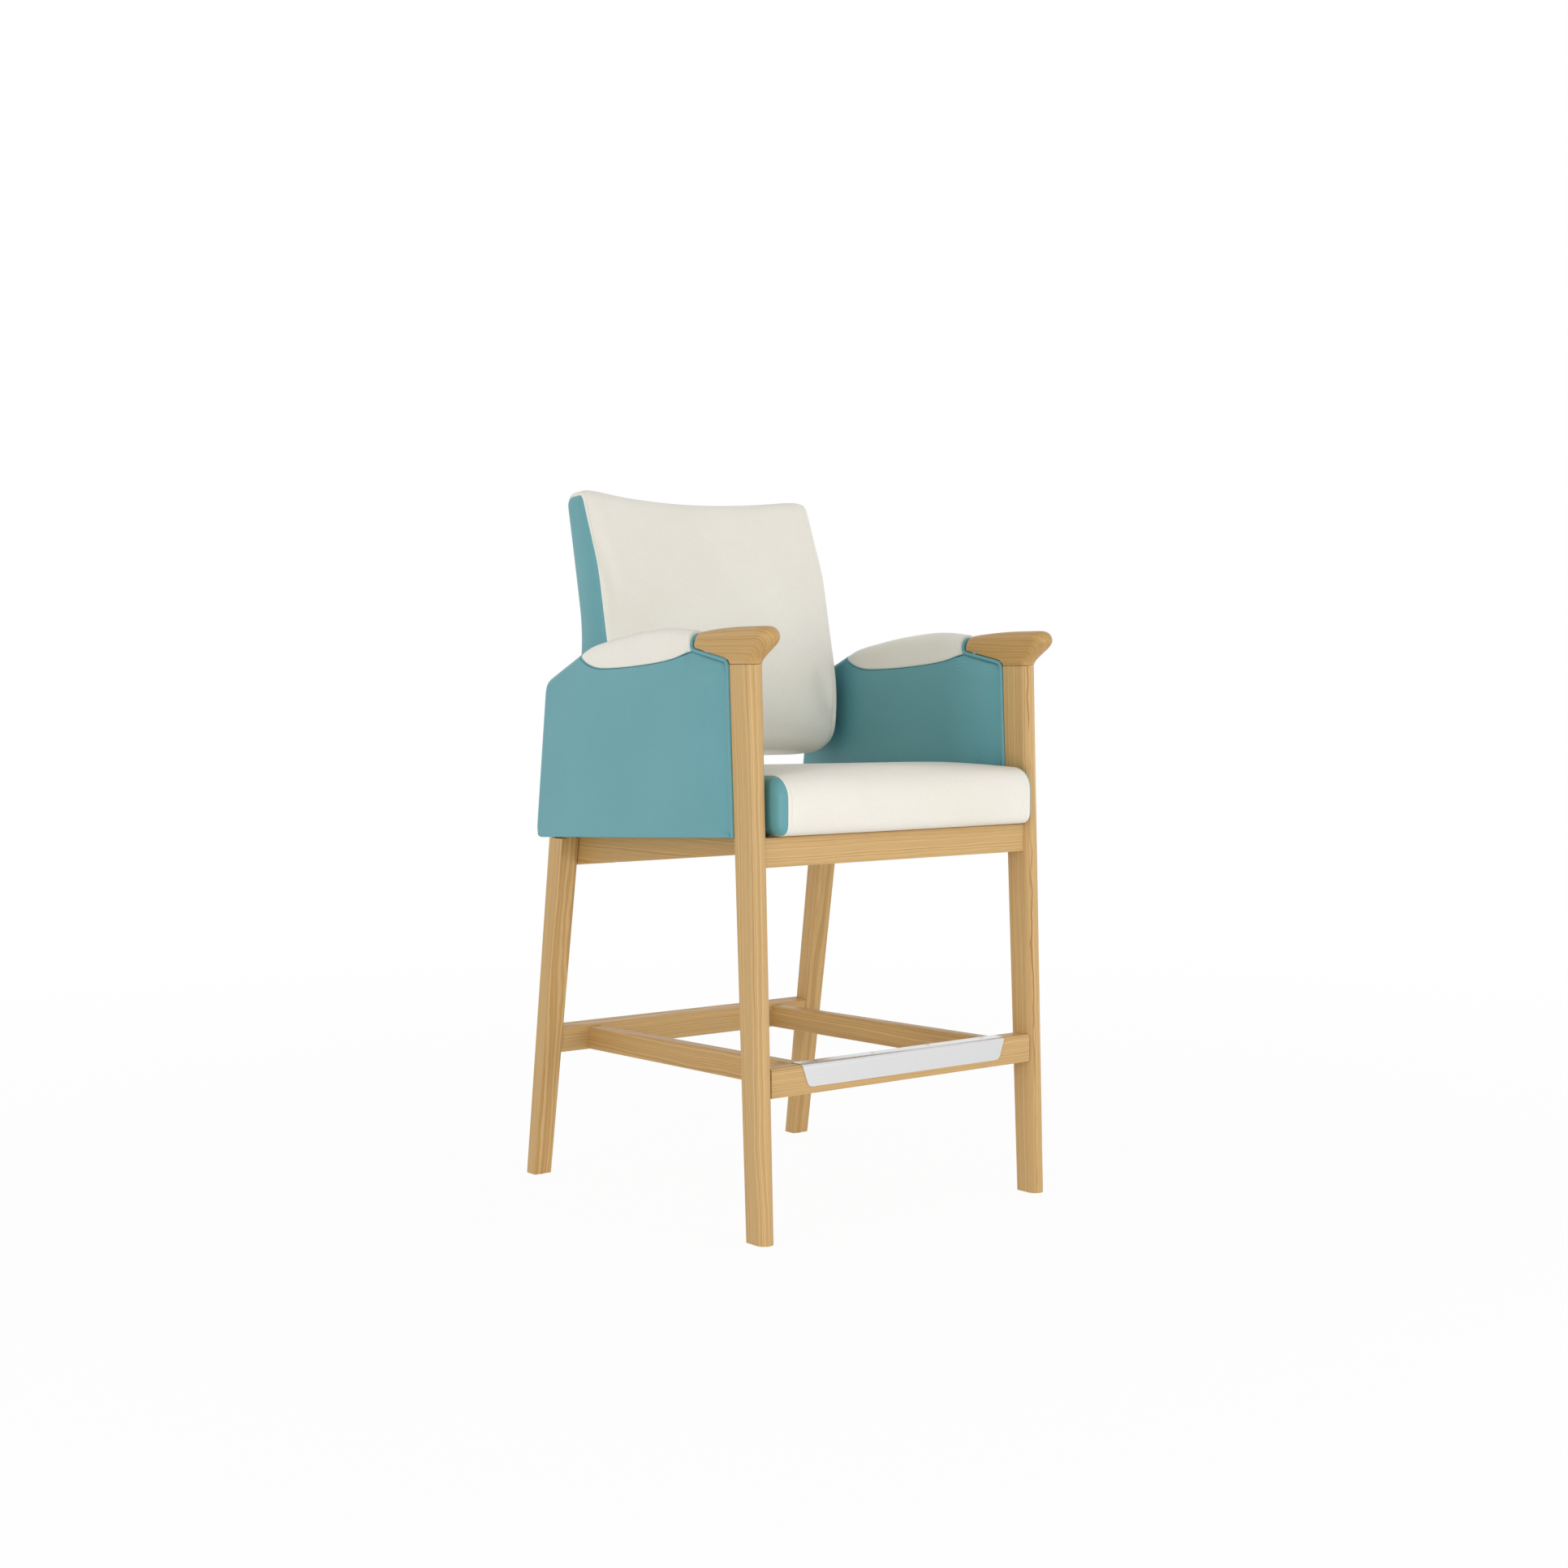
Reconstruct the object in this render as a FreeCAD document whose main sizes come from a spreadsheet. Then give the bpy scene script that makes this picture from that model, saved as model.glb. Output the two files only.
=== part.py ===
"""Bar-height waiting room armchair: ash frame, upholstered arm panels, seat and back, footrest plate.

Millimetres. +Z is up, the chair faces -Y, +X is to the right of someone looking at its front,
and the origin is on the floor under the middle of the chair.
"""
import FreeCAD, Part
import math
import os
import types

import Sketcher

DIMENSIONS = {
    # Legs
    "leg_spread": 608.0,
    "front_leg_height": 934.0,
    "front_leg_width": 30.0,
    "front_leg_depth_foot": 44.5,
    "front_leg_depth_top": 58.0,
    "front_leg_rake": 30.0,
    "front_leg_round": 14.5,
    "front_foot_reach": 347.8,
    "rear_leg_width_foot": 36.0,
    "rear_leg_width_top": 39.0,
    "rear_leg_depth_foot": 29.0,
    "rear_leg_depth_top": 41.0,
    "rear_leg_rake": 85.0,
    "rear_foot_reach": 359.8,
    "rear_tongue_length": 150.0,
    "edge_round": 2.5,
    # Glides
    "glide_radius": 10.0,
    "glide_proud": 1.5,
    "glide_stem_radius": 4.0,
    "glide_stem_length": 20.0,
    # Seat rails
    "rail_top": 655.5,
    "front_rail_height": 48.5,
    "front_rail_thickness": 24.0,
    "front_rail_setback": 12.0,
    "rear_rail_drop": 34.0,
    "rear_rail_height": 46.0,
    "rear_rail_thickness": 24.0,
    "rear_rail_setback": 11.0,
    "side_rail_inset": 5.0,
    "side_rail_thickness": 22.0,
    "side_rail_height_front": 25.5,
    "side_rail_height_rear": 53.5,
    "side_rail_rear_rise": 9.0,
    # Stretchers
    "footrest_height": 284.0,
    "front_stretcher_height": 48.2,
    "front_stretcher_thickness": 32.0,
    "front_stretcher_setback": 6.0,
    "front_stretcher_nose": 6.0,
    "rear_stretcher_top": 274.5,
    "rear_stretcher_height": 46.5,
    "rear_stretcher_thickness": 30.0,
    "rear_stretcher_setback": 3.0,
    "side_stretcher_inset": 62.0,
    "side_stretcher_width": 26.0,
    "side_stretcher_height_front": 44.0,
    "side_stretcher_height_rear": 41.5,
    "side_stretcher_drop_front": 1.0,
    "side_stretcher_drop_rear": 3.5,
    # Footrest plate
    "plate_thickness": 1.5,
    "plate_margin": 62.0,
    "plate_slant": 13.5,
    "plate_face_height": 37.0,
    "plate_flange_depth": 26.0,
    "plate_corner_round": 12.0,
    "plate_screw_radius": 2.0,
    "plate_screw_length": 14.0,
    "plate_screw_spacing": 125.0,
    # Dowels
    "dowel_radius": 5.0,
    "dowel_length": 44.0,
    "dowel_depth": 18.0,
    "dowel_pitch": 22.0,
    "dowel_screw_gap": 3.0,
    "side_stretcher_dowel_pitch": 14.0,
    "side_dowel_length": 30.0,
    "side_dowel_depth": 6.0,
    "cap_dowel_length": 60.0,
    # Corner blocks and their screws
    "block_leg": 88.0,
    "block_height": 38.0,
    "rear_block_height": 76.0,
    "block_screw_offset": 14.0,
    "block_screw_seat": 26.0,
    "block_side_offset": 30.0,
    "screw_radius": 2.2,
    "screw_length": 40.0,
    "screw_head_radius": 4.5,
    "screw_head_height": 3.5,
    "seat_screw_across": 38.0,
    "seat_screw_along": 40.0,
    "seat_screw_bite": 9.0,
    # Seat cushion
    "seat_gap": 4.5,
    "seat_thickness": 108.0,
    "seat_drop": 24.0,
    "seat_overhang": 41.0,
    "seat_rear_clearance": 15.0,
    "seat_side_clearance": 7.0,
    "seat_side_bulge": 12.0,
    "seat_crown": 10.0,
    "seat_front_bulge": 4.0,
    "seat_front_round": 38.0,
    "seat_lower_round": 18.0,
    "seat_rear_round": 16.0,
    "seat_board_thickness": 12.0,
    "seat_board_inset": 24.0,
    "cover_thickness": 1.5,
    # Back cushion
    "clean_out_gap": 17.0,
    "back_height": 497.0,
    "back_gap": 25.0,
    "back_rear_reach": 260.8,
    "back_foot_out": 19.0,
    "back_lean": 48.0,
    "back_thickness_foot": 93.0,
    "back_thickness_lumbar": 88.0,
    "back_thickness_shoulder": 73.5,
    "back_thickness_top": 49.0,
    "back_waist_height": 240.0,
    "back_lumbar_height": 207.0,
    "back_shoulder_height": 351.0,
    "back_foot_rise": 9.0,
    "back_concave": 28.0,
    "back_dip": 19.0,
    "back_corner_low": 40.0,
    "back_corner_high": 15.0,
    "back_side_bulge": 4.0,
    "back_board_thickness": 14.0,
    "back_board_inset": 30.0,
    "back_board_cover": 9.0,
    "back_block_width": 44.0,
    "back_block_depth": 44.0,
    "back_block_height": 124.0,
    "back_block_inset": 6.0,
    # Bolts between the back and the arm boards
    "back_bolt_setback": 30.0,
    "back_bolt_height": 62.0,
    "back_bolt_pitch": 56.0,
    "back_bolt_radius": 4.0,
    "back_bolt_head_radius": 7.0,
    "back_bolt_head_height": 5.0,
    "back_bolt_bite": 34.0,
    "spacer_radius": 10.0,
    "spacer_play": 0.2,
    # Arm panels
    "arm_board_reach": 22.0,
    "arm_board_thickness": 18.0,
    "arm_outer_cover": 14.0,
    "arm_inner_cover": 8.0,
    "arm_board_margin": 12.0,
    "panel_drop_front": 1.5,
    "panel_drop_rear": 31.5,
    "panel_edge_round": 7.0,
    "panel_rear_overhang": 46.0,
    "panel_rear_lean": 36.0,
    "panel_rear_height": 250.0,
    "panel_rear_round": 15.0,
    "panel_foot_round": 13.0,
    "panel_seam_height": 30.0,
    # Arm pads and welts
    "welt_radius": 3.0,
    "welt_clearance": 0.3,
    "welt_drop": 8.0,
    "pad_length": 321.0,
    "pad_height": 62.0,
    "pad_overhang": 0.6,
    # Arm caps
    "cap_height": 61.0,
    "cap_width": 46.0,
    "cap_front_overhang": 42.0,
    "cap_rear_overhang": 97.5,
}

SIDES = (("left", -1), ("right", 1))
LEAST_ROUND = 0.4
NEARLY_PARALLEL = 0.96
CAP_PEG_SHARES = (0.34, 0.7)
FRONT_BOARD_PEG_SHARES = (0.2, 0.55, 0.9)
REAR_BOARD_PEG_SHARES = (0.3, 0.75)
PLATE_SCREW_PLACES = (-1.5, -0.5, 0.5, 1.5)
BACK_BOARD_LEAN_SHARE = 0.9
WELT_TURN_SHARE = 0.75
CROSS_SHARES = (-1.0, -0.96, -0.88, -0.7, -0.4, 0.0, 0.4, 0.7, 0.88, 0.96, 1.0)
BULGE_STEPS = ((0.0, 0.0), (0.38, 0.08), (0.71, 0.3), (0.92, 0.62), (1.0, 1.0))
# Share along the pad, then the height of its lower edge and of its crown as shares of its height
PAD_STATIONS = (
    (0.0, 0.31, 0.92),
    (0.13, 0.18, 0.99),
    (0.3, 0.06, 1.0),
    (0.56, -0.04, 0.88),
    (0.8, -0.07, 0.69),
    (0.94, 0.05, 0.54),
    (1.0, 0.27, 0.38),
)
PAD_LOWEST = min(range(len(PAD_STATIONS)), key=lambda rank: PAD_STATIONS[rank][1])
PAD_CROWN_SHARE = 0.46
PAD_CROWN_LIMIT = 0.8
PAD_INSIDE_SHARE = 0.5
CAP_BROAD_SHARE = 0.74
CAP_ROUND_SHARE = 0.94
CAP_UNDER_STEPS = (0.0, 0.12, 0.21, 0.3, 0.4, 0.5, 0.58, 0.7, 0.84)
# Share of a cap's height, then of its rear overhang, along its underside behind the leg
CAP_HEEL_STEPS = ((0.155, 0.0), (0.43, 0.85), (0.52, 0.97), (0.62, 1.0))
CAP_OVER_STEPS = (0.0, 0.3, 0.55, 0.75, 0.88, 0.95, 0.985)

doc = FreeCAD.newDocument("WaitingRoomChair")
sheet = doc.addObject("Spreadsheet::Sheet", "Dims")
for row, (alias, number) in enumerate(DIMENSIONS.items(), start=1):
    sheet.set(f"A{row}", alias)
    sheet.set(f"B{row}", str(number))
    sheet.setAlias(f"B{row}", alias)
doc.recompute()


class Size:
    """A length: its formula over the driving dimensions and its present value."""

    def __init__(self, formula, value):
        self.formula = formula
        self.value = value

    def __float__(self):
        return self.value

    def __add__(self, other):
        other = as_size(other)
        return Size(f"({self.formula} + {other.formula})", self.value + other.value)

    def __sub__(self, other):
        other = as_size(other)
        return Size(f"({self.formula} - {other.formula})", self.value - other.value)

    def __mul__(self, other):
        other = as_size(other)
        return Size(f"({self.formula} * {other.formula})", self.value * other.value)

    def __truediv__(self, other):
        other = as_size(other)
        return Size(f"({self.formula} / {other.formula})", self.value / other.value)

    def __neg__(self):
        return Size(f"(0 - {self.formula})", -self.value)

    __radd__ = __add__
    __rmul__ = __mul__


def as_size(length):
    if isinstance(length, Size):
        return length
    return Size(f"({float(length):.6f})", float(length))


def between(start, end, share):
    return start + (end - start) * share


D = types.SimpleNamespace(
    **{alias: Size(f"Dims.{alias}", float(sheet.get(alias))) for alias in DIMENSIONS}
)
ZERO = as_size(0.0)
PIECES = []


# Plain forms with driven sizes


def bind(item, prop, length):
    item.setExpression(prop, as_size(length).formula)


def place(item, x, y, z, turn=FreeCAD.Rotation()):
    item.Placement = FreeCAD.Placement(FreeCAD.Vector(0, 0, 0), turn)
    for axis, length in zip("xyz", (x, y, z)):
        bind(item, f"Placement.Base.{axis}", length)


def keep(label, item):
    """Name a finished sub-part; its label is the name of its file."""
    item.Label = label
    PIECES.append(item)
    return item


def block(name, x, y, z):
    """A box from pairs of low and high places along each axis."""
    item = doc.addObject("Part::Box", name)
    for prop, (low, high) in zip(("Length", "Width", "Height"), (x, y, z)):
        bind(item, prop, high - low)
    place(item, x[0], y[0], z[0])
    return item


def upright(name, low, high, z):
    """A straight tapered post between two level rectangles, each given as (x pair, y pair)."""
    item = doc.addObject("Part::Wedge", name)
    for prop, length in (
        ("Xmin", low[0][0]), ("Xmax", low[0][1]), ("Zmin", -low[1][1]), ("Zmax", -low[1][0]),
        ("X2min", high[0][0]), ("X2max", high[0][1]), ("Z2min", -high[1][1]), ("Z2max", -high[1][0]),
        ("Ymin", z[0]), ("Ymax", z[1]),
    ):
        bind(item, prop, length)
    place(item, ZERO, ZERO, ZERO, FreeCAD.Rotation(FreeCAD.Vector(1, 0, 0), 90))
    return item


def side_bar(name, x, y, front_z, rear_z):
    """A bar that runs from front to rear and changes height on the way."""
    item = doc.addObject("Part::Wedge", f"{name}_bar")
    for prop, length in (
        ("Xmin", x[0]), ("Xmax", x[1]), ("X2min", x[0]), ("X2max", x[1]),
        ("Ymin", y[0]), ("Ymax", y[1]),
        ("Zmin", front_z[0]), ("Zmax", front_z[1]), ("Z2min", rear_z[0]), ("Z2max", rear_z[1]),
    ):
        bind(item, prop, length)
    place(item, ZERO, ZERO, ZERO)
    return rounded(f"{name}_eased", item, lambda edge: along(edge, AXIS_Y), D.edge_round)


TURNS = {
    "+x": FreeCAD.Rotation(FreeCAD.Vector(0, 1, 0), 90),
    "-x": FreeCAD.Rotation(FreeCAD.Vector(0, 1, 0), -90),
    "+y": FreeCAD.Rotation(FreeCAD.Vector(1, 0, 0), -90),
    "-y": FreeCAD.Rotation(FreeCAD.Vector(1, 0, 0), 90),
    "+z": FreeCAD.Rotation(),
    "-z": FreeCAD.Rotation(FreeCAD.Vector(1, 0, 0), 180),
}


def rod(name, radius, length, start, way):
    """A round bar that starts at a point and runs along one axis."""
    item = doc.addObject("Part::Cylinder", name)
    bind(item, "Radius", radius)
    bind(item, "Height", length)
    place(item, *start, TURNS[way])
    return item


def group(name, items):
    item = doc.addObject("Part::Compound", name)
    item.Links = list(items)
    return item


def fuse(name, items):
    item = doc.addObject("Part::MultiFuse", name)
    item.Shapes = list(items)
    return item


def cut(name, base, tools):
    item = doc.addObject("Part::Cut", name)
    item.Base = base
    item.Tool = tools[0] if len(tools) == 1 else group(f"{name}_tools", tools)
    return item


def rounded(name, base, chosen, radius):
    """Round the edges of a base that a test picks."""
    doc.recompute()
    item = doc.addObject("Part::Fillet", name)
    item.Base = base
    amount = float(radius)
    edges = base.Shape.Edges
    item.Edges = [(n, amount, amount) for n, edge in enumerate(edges, start=1) if chosen(edge)]
    return item


def along(edge, axis):
    """True for an edge that runs within about 15 degrees of an axis."""
    first, last = (vertex.Point for vertex in edge.Vertexes)
    run = (last - first).normalize()
    return abs(run.dot(axis)) > NEARLY_PARALLEL


AXIS_X = FreeCAD.Vector(1, 0, 0)
AXIS_Y = FreeCAD.Vector(0, 1, 0)
AXIS_Z = FreeCAD.Vector(0, 0, 1)


def board(name, plane, outline, thickness, x=ZERO, y=ZERO, z=ZERO):
    """A flat piece: a straight-edged outline on one of its body's planes, padded to a thickness."""
    body = doc.addObject("PartDesign::Body", name)
    sketch = body.newObject("Sketcher::SketchObject", f"{name}_outline")
    origin = [part for part in body.Origin.OriginFeatures if part.Role == plane]
    sketch.AttachmentSupport = [(origin[0], "")]
    sketch.MapMode = "FlatFace"
    corners = [FreeCAD.Vector(float(u), float(v), 0) for u, v in outline]
    for index, corner in enumerate(corners):
        sketch.addGeometry(Part.LineSegment(corner, corners[(index + 1) % len(corners)]))
    for index in range(len(corners)):
        sketch.addConstraint(Sketcher.Constraint("Coincident", index, 2, (index + 1) % len(corners), 1))
    for index, corner in enumerate(outline):
        for kind, length in zip(("DistanceX", "DistanceY"), corner):
            number = sketch.addConstraint(Sketcher.Constraint(kind, index, 1, float(length)))
            bind(sketch, f"Constraints[{number}]", length)
    pad = body.newObject("PartDesign::Pad", f"{name}_pad")
    pad.Profile = sketch
    bind(pad, "Length", thickness)
    place(body, x, y, z)
    return body


def solid(name, shape):
    item = doc.addObject("Part::Feature", name)
    item.Shape = shape
    item.Placement = FreeCAD.Placement()
    return item


# Free forms


def offset_corners(corners, inset):
    """Corners of a polygon (anticlockwise) whose edges are all moved inwards by an inset."""
    points = [FreeCAD.Vector(float(a), float(b), 0) for a, b, _ in corners]
    count = len(points)
    lines = []
    for index, point in enumerate(points):
        run = (points[(index + 1) % count] - point).normalize()
        inward = FreeCAD.Vector(-run.y, run.x, 0)
        lines.append((point + inward * inset, run))
    moved = []
    for index in range(count):
        (start, run), (other, way) = lines[index - 1], lines[index]
        cross = run.x * way.y - run.y * way.x
        step = ((other.x - start.x) * way.y - (other.y - start.y) * way.x) / cross
        radius = float(corners[index][2]) - inset * math.copysign(1.0, cross)
        moved.append((start + run * step, max(radius, LEAST_ROUND)))
    return moved


def corner_arc(before, corner, after, radius):
    """Start, middle and end of the arc that rounds a corner."""
    back = (before - corner).normalize()
    ahead = (after - corner).normalize()
    half = back.getAngle(ahead) / 2
    bisector = (back + ahead).normalize()
    centre = corner + bisector * (radius / math.sin(half))
    reach = radius / math.tan(half)
    return corner + back * reach, centre - bisector * radius, corner + ahead * reach


def outline_wire(corners, inset, to_space):
    """A closed wire of lines and corner arcs; to_space puts a flat point into the chair's frame."""
    moved = offset_corners(corners, inset)
    count = len(moved)
    arcs = []
    for index, (corner, radius) in enumerate(moved):
        before = moved[index - 1][0]
        after = moved[(index + 1) % count][0]
        arcs.append([to_space(point) for point in corner_arc(before, corner, after, radius)])
    edges = []
    for index, arc in enumerate(arcs):
        edges.append(Part.LineSegment(arcs[index - 1][2], arc[0]).toShape())
        edges.append(Part.Arc(*arc).toShape())
    return Part.Wire(edges)


def side_view(x):
    """Puts a flat (y, z) point on the upright plane at a place across the chair."""
    return lambda point: FreeCAD.Vector(float(x), point.x, point.y)


def end_view(y):
    """Puts a flat (x, z) point on the upright plane at a place from front to rear."""
    return lambda point: FreeCAD.Vector(point.x, float(y), point.y)


def level(z):
    """Puts a flat (x, y) point on the level plane at a height."""
    return lambda point: FreeCAD.Vector(point.x, point.y, float(z))


def loft(wires, ruled=False):
    return Part.makeLoft(wires, True, ruled)


def mirrored(shape):
    return shape.mirror(FreeCAD.Vector(0, 0, 0), AXIS_X)


def on_side(sign, shape):
    """A form made on the right side, or its mirror image on the left."""
    return shape if sign > 0 else mirrored(shape)


def across(sign, low, high):
    """Low and high places across the chair for a span given on the right side."""
    return (low, high) if sign > 0 else (-high, -low)


# Places that several pieces share

leg_centre = D.leg_spread / 2
leg_inner = leg_centre - D.front_leg_width / 2
leg_outer = leg_centre + D.front_leg_width / 2
foot = D.glide_proud
joint = D.front_leg_height

front_foot_front = -D.front_foot_reach
front_foot_rear = front_foot_front + D.front_leg_depth_foot
front_top_front = front_foot_front + D.front_leg_rake
front_top_rear = front_top_front + D.front_leg_depth_top

panel_low_front = D.rail_top - D.panel_drop_front
panel_low_rear = D.rail_top - D.panel_drop_rear
shoulder = panel_low_rear + D.glide_proud

rear_foot_rear = D.rear_foot_reach
rear_foot_front = rear_foot_rear - D.rear_leg_depth_foot
rear_top_rear = rear_foot_rear - D.rear_leg_rake
rear_top_front = rear_top_rear - D.rear_leg_depth_top


def front_leg_front(z):
    return between(front_foot_front, front_top_front, (z - foot) / (joint - foot))


def front_leg_rear(z):
    return between(front_foot_rear, front_top_rear, (z - foot) / (joint - foot))


def rear_leg_front(z):
    return between(rear_foot_front, rear_top_front, (z - foot) / (shoulder - foot))


def rear_leg_rear(z):
    return between(rear_foot_rear, rear_top_rear, (z - foot) / (shoulder - foot))


def rear_leg_half(z):
    share = (z - foot) / (shoulder - foot)
    return between(D.rear_leg_width_foot, D.rear_leg_width_top, share) / 2


rail_outer = leg_inner - D.side_rail_inset
rail_inner = rail_outer - D.side_rail_thickness
board_outer = leg_inner + D.arm_board_reach
board_inner = board_outer - D.arm_board_thickness
panel_outer = board_outer + D.arm_outer_cover
panel_inner = board_inner - D.arm_inner_cover

front_rail_low = D.rail_top - D.front_rail_height
front_rail_middle = D.rail_top - D.front_rail_height / 2
front_rail_face = front_leg_front(front_rail_middle) + D.front_rail_setback
front_rail_back = front_rail_face + D.front_rail_thickness

rear_rail_top = D.rail_top - D.rear_rail_drop
rear_rail_low = rear_rail_top - D.rear_rail_height
rear_rail_middle = rear_rail_top - D.rear_rail_height / 2
rear_rail_face = rear_leg_front(rear_rail_middle) + D.rear_rail_setback
rear_rail_back = rear_rail_face + D.rear_rail_thickness

side_rail_front_middle = D.rail_top - D.side_rail_height_front / 2
side_rail_rear_top = rear_rail_top + D.side_rail_rear_rise
side_rail_rear_middle = side_rail_rear_top - D.side_rail_height_rear / 2

front_stretcher_low = D.footrest_height - D.front_stretcher_height
front_stretcher_middle = D.footrest_height - D.front_stretcher_height / 2
front_stretcher_face = front_leg_front(front_stretcher_middle) + D.front_stretcher_setback
front_stretcher_back = front_stretcher_face + D.front_stretcher_thickness
rear_stretcher_low = D.rear_stretcher_top - D.rear_stretcher_height
rear_stretcher_middle = D.rear_stretcher_top - D.rear_stretcher_height / 2
rear_stretcher_face = rear_leg_front(rear_stretcher_middle) + D.rear_stretcher_setback
rear_stretcher_centre = rear_stretcher_face + D.rear_stretcher_thickness / 2
side_stretcher_outer = leg_inner - D.side_stretcher_inset
side_stretcher_inner = side_stretcher_outer - D.side_stretcher_width
side_stretcher_front_top = D.footrest_height - D.side_stretcher_drop_front
# The front dowels of the side stretchers lie below the tips of the plate's screws
plate_screw_tip = D.footrest_height + D.plate_thickness - D.plate_screw_length
side_peg_high = plate_screw_tip - D.dowel_screw_gap - D.dowel_radius
side_peg_low = side_peg_high - D.side_stretcher_dowel_pitch
side_stretcher_rear_top = D.rear_stretcher_top - D.side_stretcher_drop_rear
side_stretcher_rear_middle = side_stretcher_rear_top - D.side_stretcher_height_rear / 2

seat_low = D.rail_top + D.seat_gap
seat_high = seat_low + D.seat_thickness
seat_front = front_rail_face - D.seat_overhang
seat_rear = rear_rail_face - D.seat_rear_clearance
seat_half = leg_inner - D.seat_side_clearance - D.seat_side_bulge

back_low = seat_high - D.seat_drop + D.clean_out_gap
back_half = panel_inner - D.back_gap


# Dowels

def dowel(name, start, way, length=D.dowel_length):
    return rod(name, D.dowel_radius, length, start, way)


def rail_dowels():
    """Two dowels in each end of the front and rear rails, one in each end of the side rails."""
    pegs = []
    for side, sign in SIDES:
        way = "-x" if sign > 0 else "+x"
        for rank, step in enumerate((-D.dowel_pitch / 2, D.dowel_pitch / 2)):
            name = f"peg_{side}_{rank}"
            z = front_rail_middle + step
            y = front_rail_face + D.front_rail_thickness / 2
            start = ((leg_inner + D.dowel_depth) * sign, y, z)
            pegs.append(dowel(f"{name}_front_rail", start, way))
            z = rear_rail_middle + step
            y = rear_rail_face + D.rear_rail_thickness / 2
            start = ((leg_centre - rear_leg_half(z) + D.dowel_depth) * sign, y, z)
            pegs.append(dowel(f"{name}_rear_rail", start, way))
        x = (rail_inner + rail_outer) / 2 * sign
        start = (x, front_rail_back - D.side_dowel_depth, side_rail_front_middle)
        pegs.append(dowel(f"peg_{side}_side_rail_front", start, "+y", D.side_dowel_length))
        start = (x, rear_rail_face + D.side_dowel_depth, side_rail_rear_middle)
        pegs.append(dowel(f"peg_{side}_side_rail_rear", start, "-y", D.side_dowel_length))
    return pegs


def stretcher_dowels():
    """Two dowels in each end of the stretchers."""
    pegs = []
    for side, sign in SIDES:
        way = "-x" if sign > 0 else "+x"
        side_pegs = (side_peg_low, side_peg_high)
        for rank, step in enumerate((-D.dowel_pitch / 2, D.dowel_pitch / 2)):
            name = f"peg_{side}_{rank}"
            y = front_stretcher_face + D.front_stretcher_thickness / 2
            start = ((leg_inner + D.dowel_depth) * sign, y, front_stretcher_middle + step)
            pegs.append(dowel(f"{name}_front_stretcher", start, way))
            z = rear_stretcher_middle + step
            start = ((leg_centre - rear_leg_half(z) + D.dowel_depth) * sign, rear_stretcher_centre, z)
            pegs.append(dowel(f"{name}_rear_stretcher", start, way))
            x = (side_stretcher_outer - D.side_stretcher_width / 2) * sign
            start = (x, front_stretcher_back - D.dowel_depth, side_pegs[rank])
            pegs.append(dowel(f"{name}_side_stretcher_front", start, "+y"))
            start = (x, rear_stretcher_face + D.dowel_depth, side_stretcher_rear_middle + step)
            pegs.append(dowel(f"{name}_side_stretcher_rear", start, "-y"))
    return pegs


def cap_dowels():
    pegs = []
    for side, sign in SIDES:
        for rank, share in enumerate(CAP_PEG_SHARES):
            y = between(front_top_front, front_top_rear, share)
            start = (leg_centre * sign, y, joint - D.cap_dowel_length / 2)
            pegs.append(dowel(f"peg_{side}_{rank}_cap", start, "+z", D.cap_dowel_length))
    return pegs


def arm_board_dowels():
    """Three dowels from each arm board into its front leg, two into the rear leg's tongue."""
    pegs = []
    board_low = panel_low_front + D.arm_board_margin
    board_top = joint - D.arm_board_margin
    for side, sign in SIDES:
        x = (board_inner + board_outer) / 2 * sign
        for rank, share in enumerate(FRONT_BOARD_PEG_SHARES):
            z = between(board_low, board_top, share)
            start = (x, front_leg_rear(z) - D.dowel_depth, z)
            pegs.append(dowel(f"peg_{side}_{rank}_board_front", start, "+y"))
        for rank, share in enumerate(REAR_BOARD_PEG_SHARES):
            z = shoulder + D.rear_tongue_length * share
            start = (x, rear_leg_front(z) + D.dowel_depth, z)
            pegs.append(dowel(f"peg_{side}_{rank}_board_rear", start, "-y"))
    return pegs


# Glides

def glides():
    feet = []
    front_y = front_foot_front + D.front_leg_depth_foot / 2
    rear_y = rear_foot_rear - D.rear_leg_depth_foot / 2
    for side, sign in SIDES:
        for place_name, y in (("front", front_y), ("rear", rear_y)):
            x = leg_centre * sign
            name = f"glide_{place_name}_{side}"
            disc = rod(f"{name}_disc", D.glide_radius, D.glide_proud, (x, y, ZERO), "+z")
            start = (x, y, D.glide_proud)
            stem = rod(f"{name}_stem", D.glide_stem_radius, D.glide_stem_length, start, "+z")
            feet.append(fuse(name, [disc, stem]))
    return feet


# Frame blanks, before their dowel holes are drilled

def front_leg_blank(side, sign):
    x = across(sign, leg_inner, leg_outer)
    low = (x, (front_foot_front, front_foot_rear))
    high = (x, (front_top_front, front_top_rear))
    post = upright(f"front_post_{side}", low, high, (foot, joint))

    def front_edge(edge):
        return along(edge, AXIS_Z) and edge.CenterOfMass.y < float(front_top_front)

    def rear_edge(edge):
        return along(edge, AXIS_Z) and edge.CenterOfMass.y > float(front_top_front)

    nosed = rounded(f"front_post_{side}_nose", post, front_edge, D.front_leg_round)
    return rounded(
        f"front_post_{side}_rounded", nosed, lambda edge: rear_edge(edge) and is_rear_of(edge, nosed),
        D.edge_round,
    )


def is_rear_of(edge, item):
    """True for an upright edge on the rear face of a post."""
    rear_low = max(vertex.Y for vertex in item.Shape.Vertexes if vertex.Z < float(joint) / 2)
    return abs(min(vertex.Y for vertex in edge.Vertexes) - rear_low) < LEAST_ROUND


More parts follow.
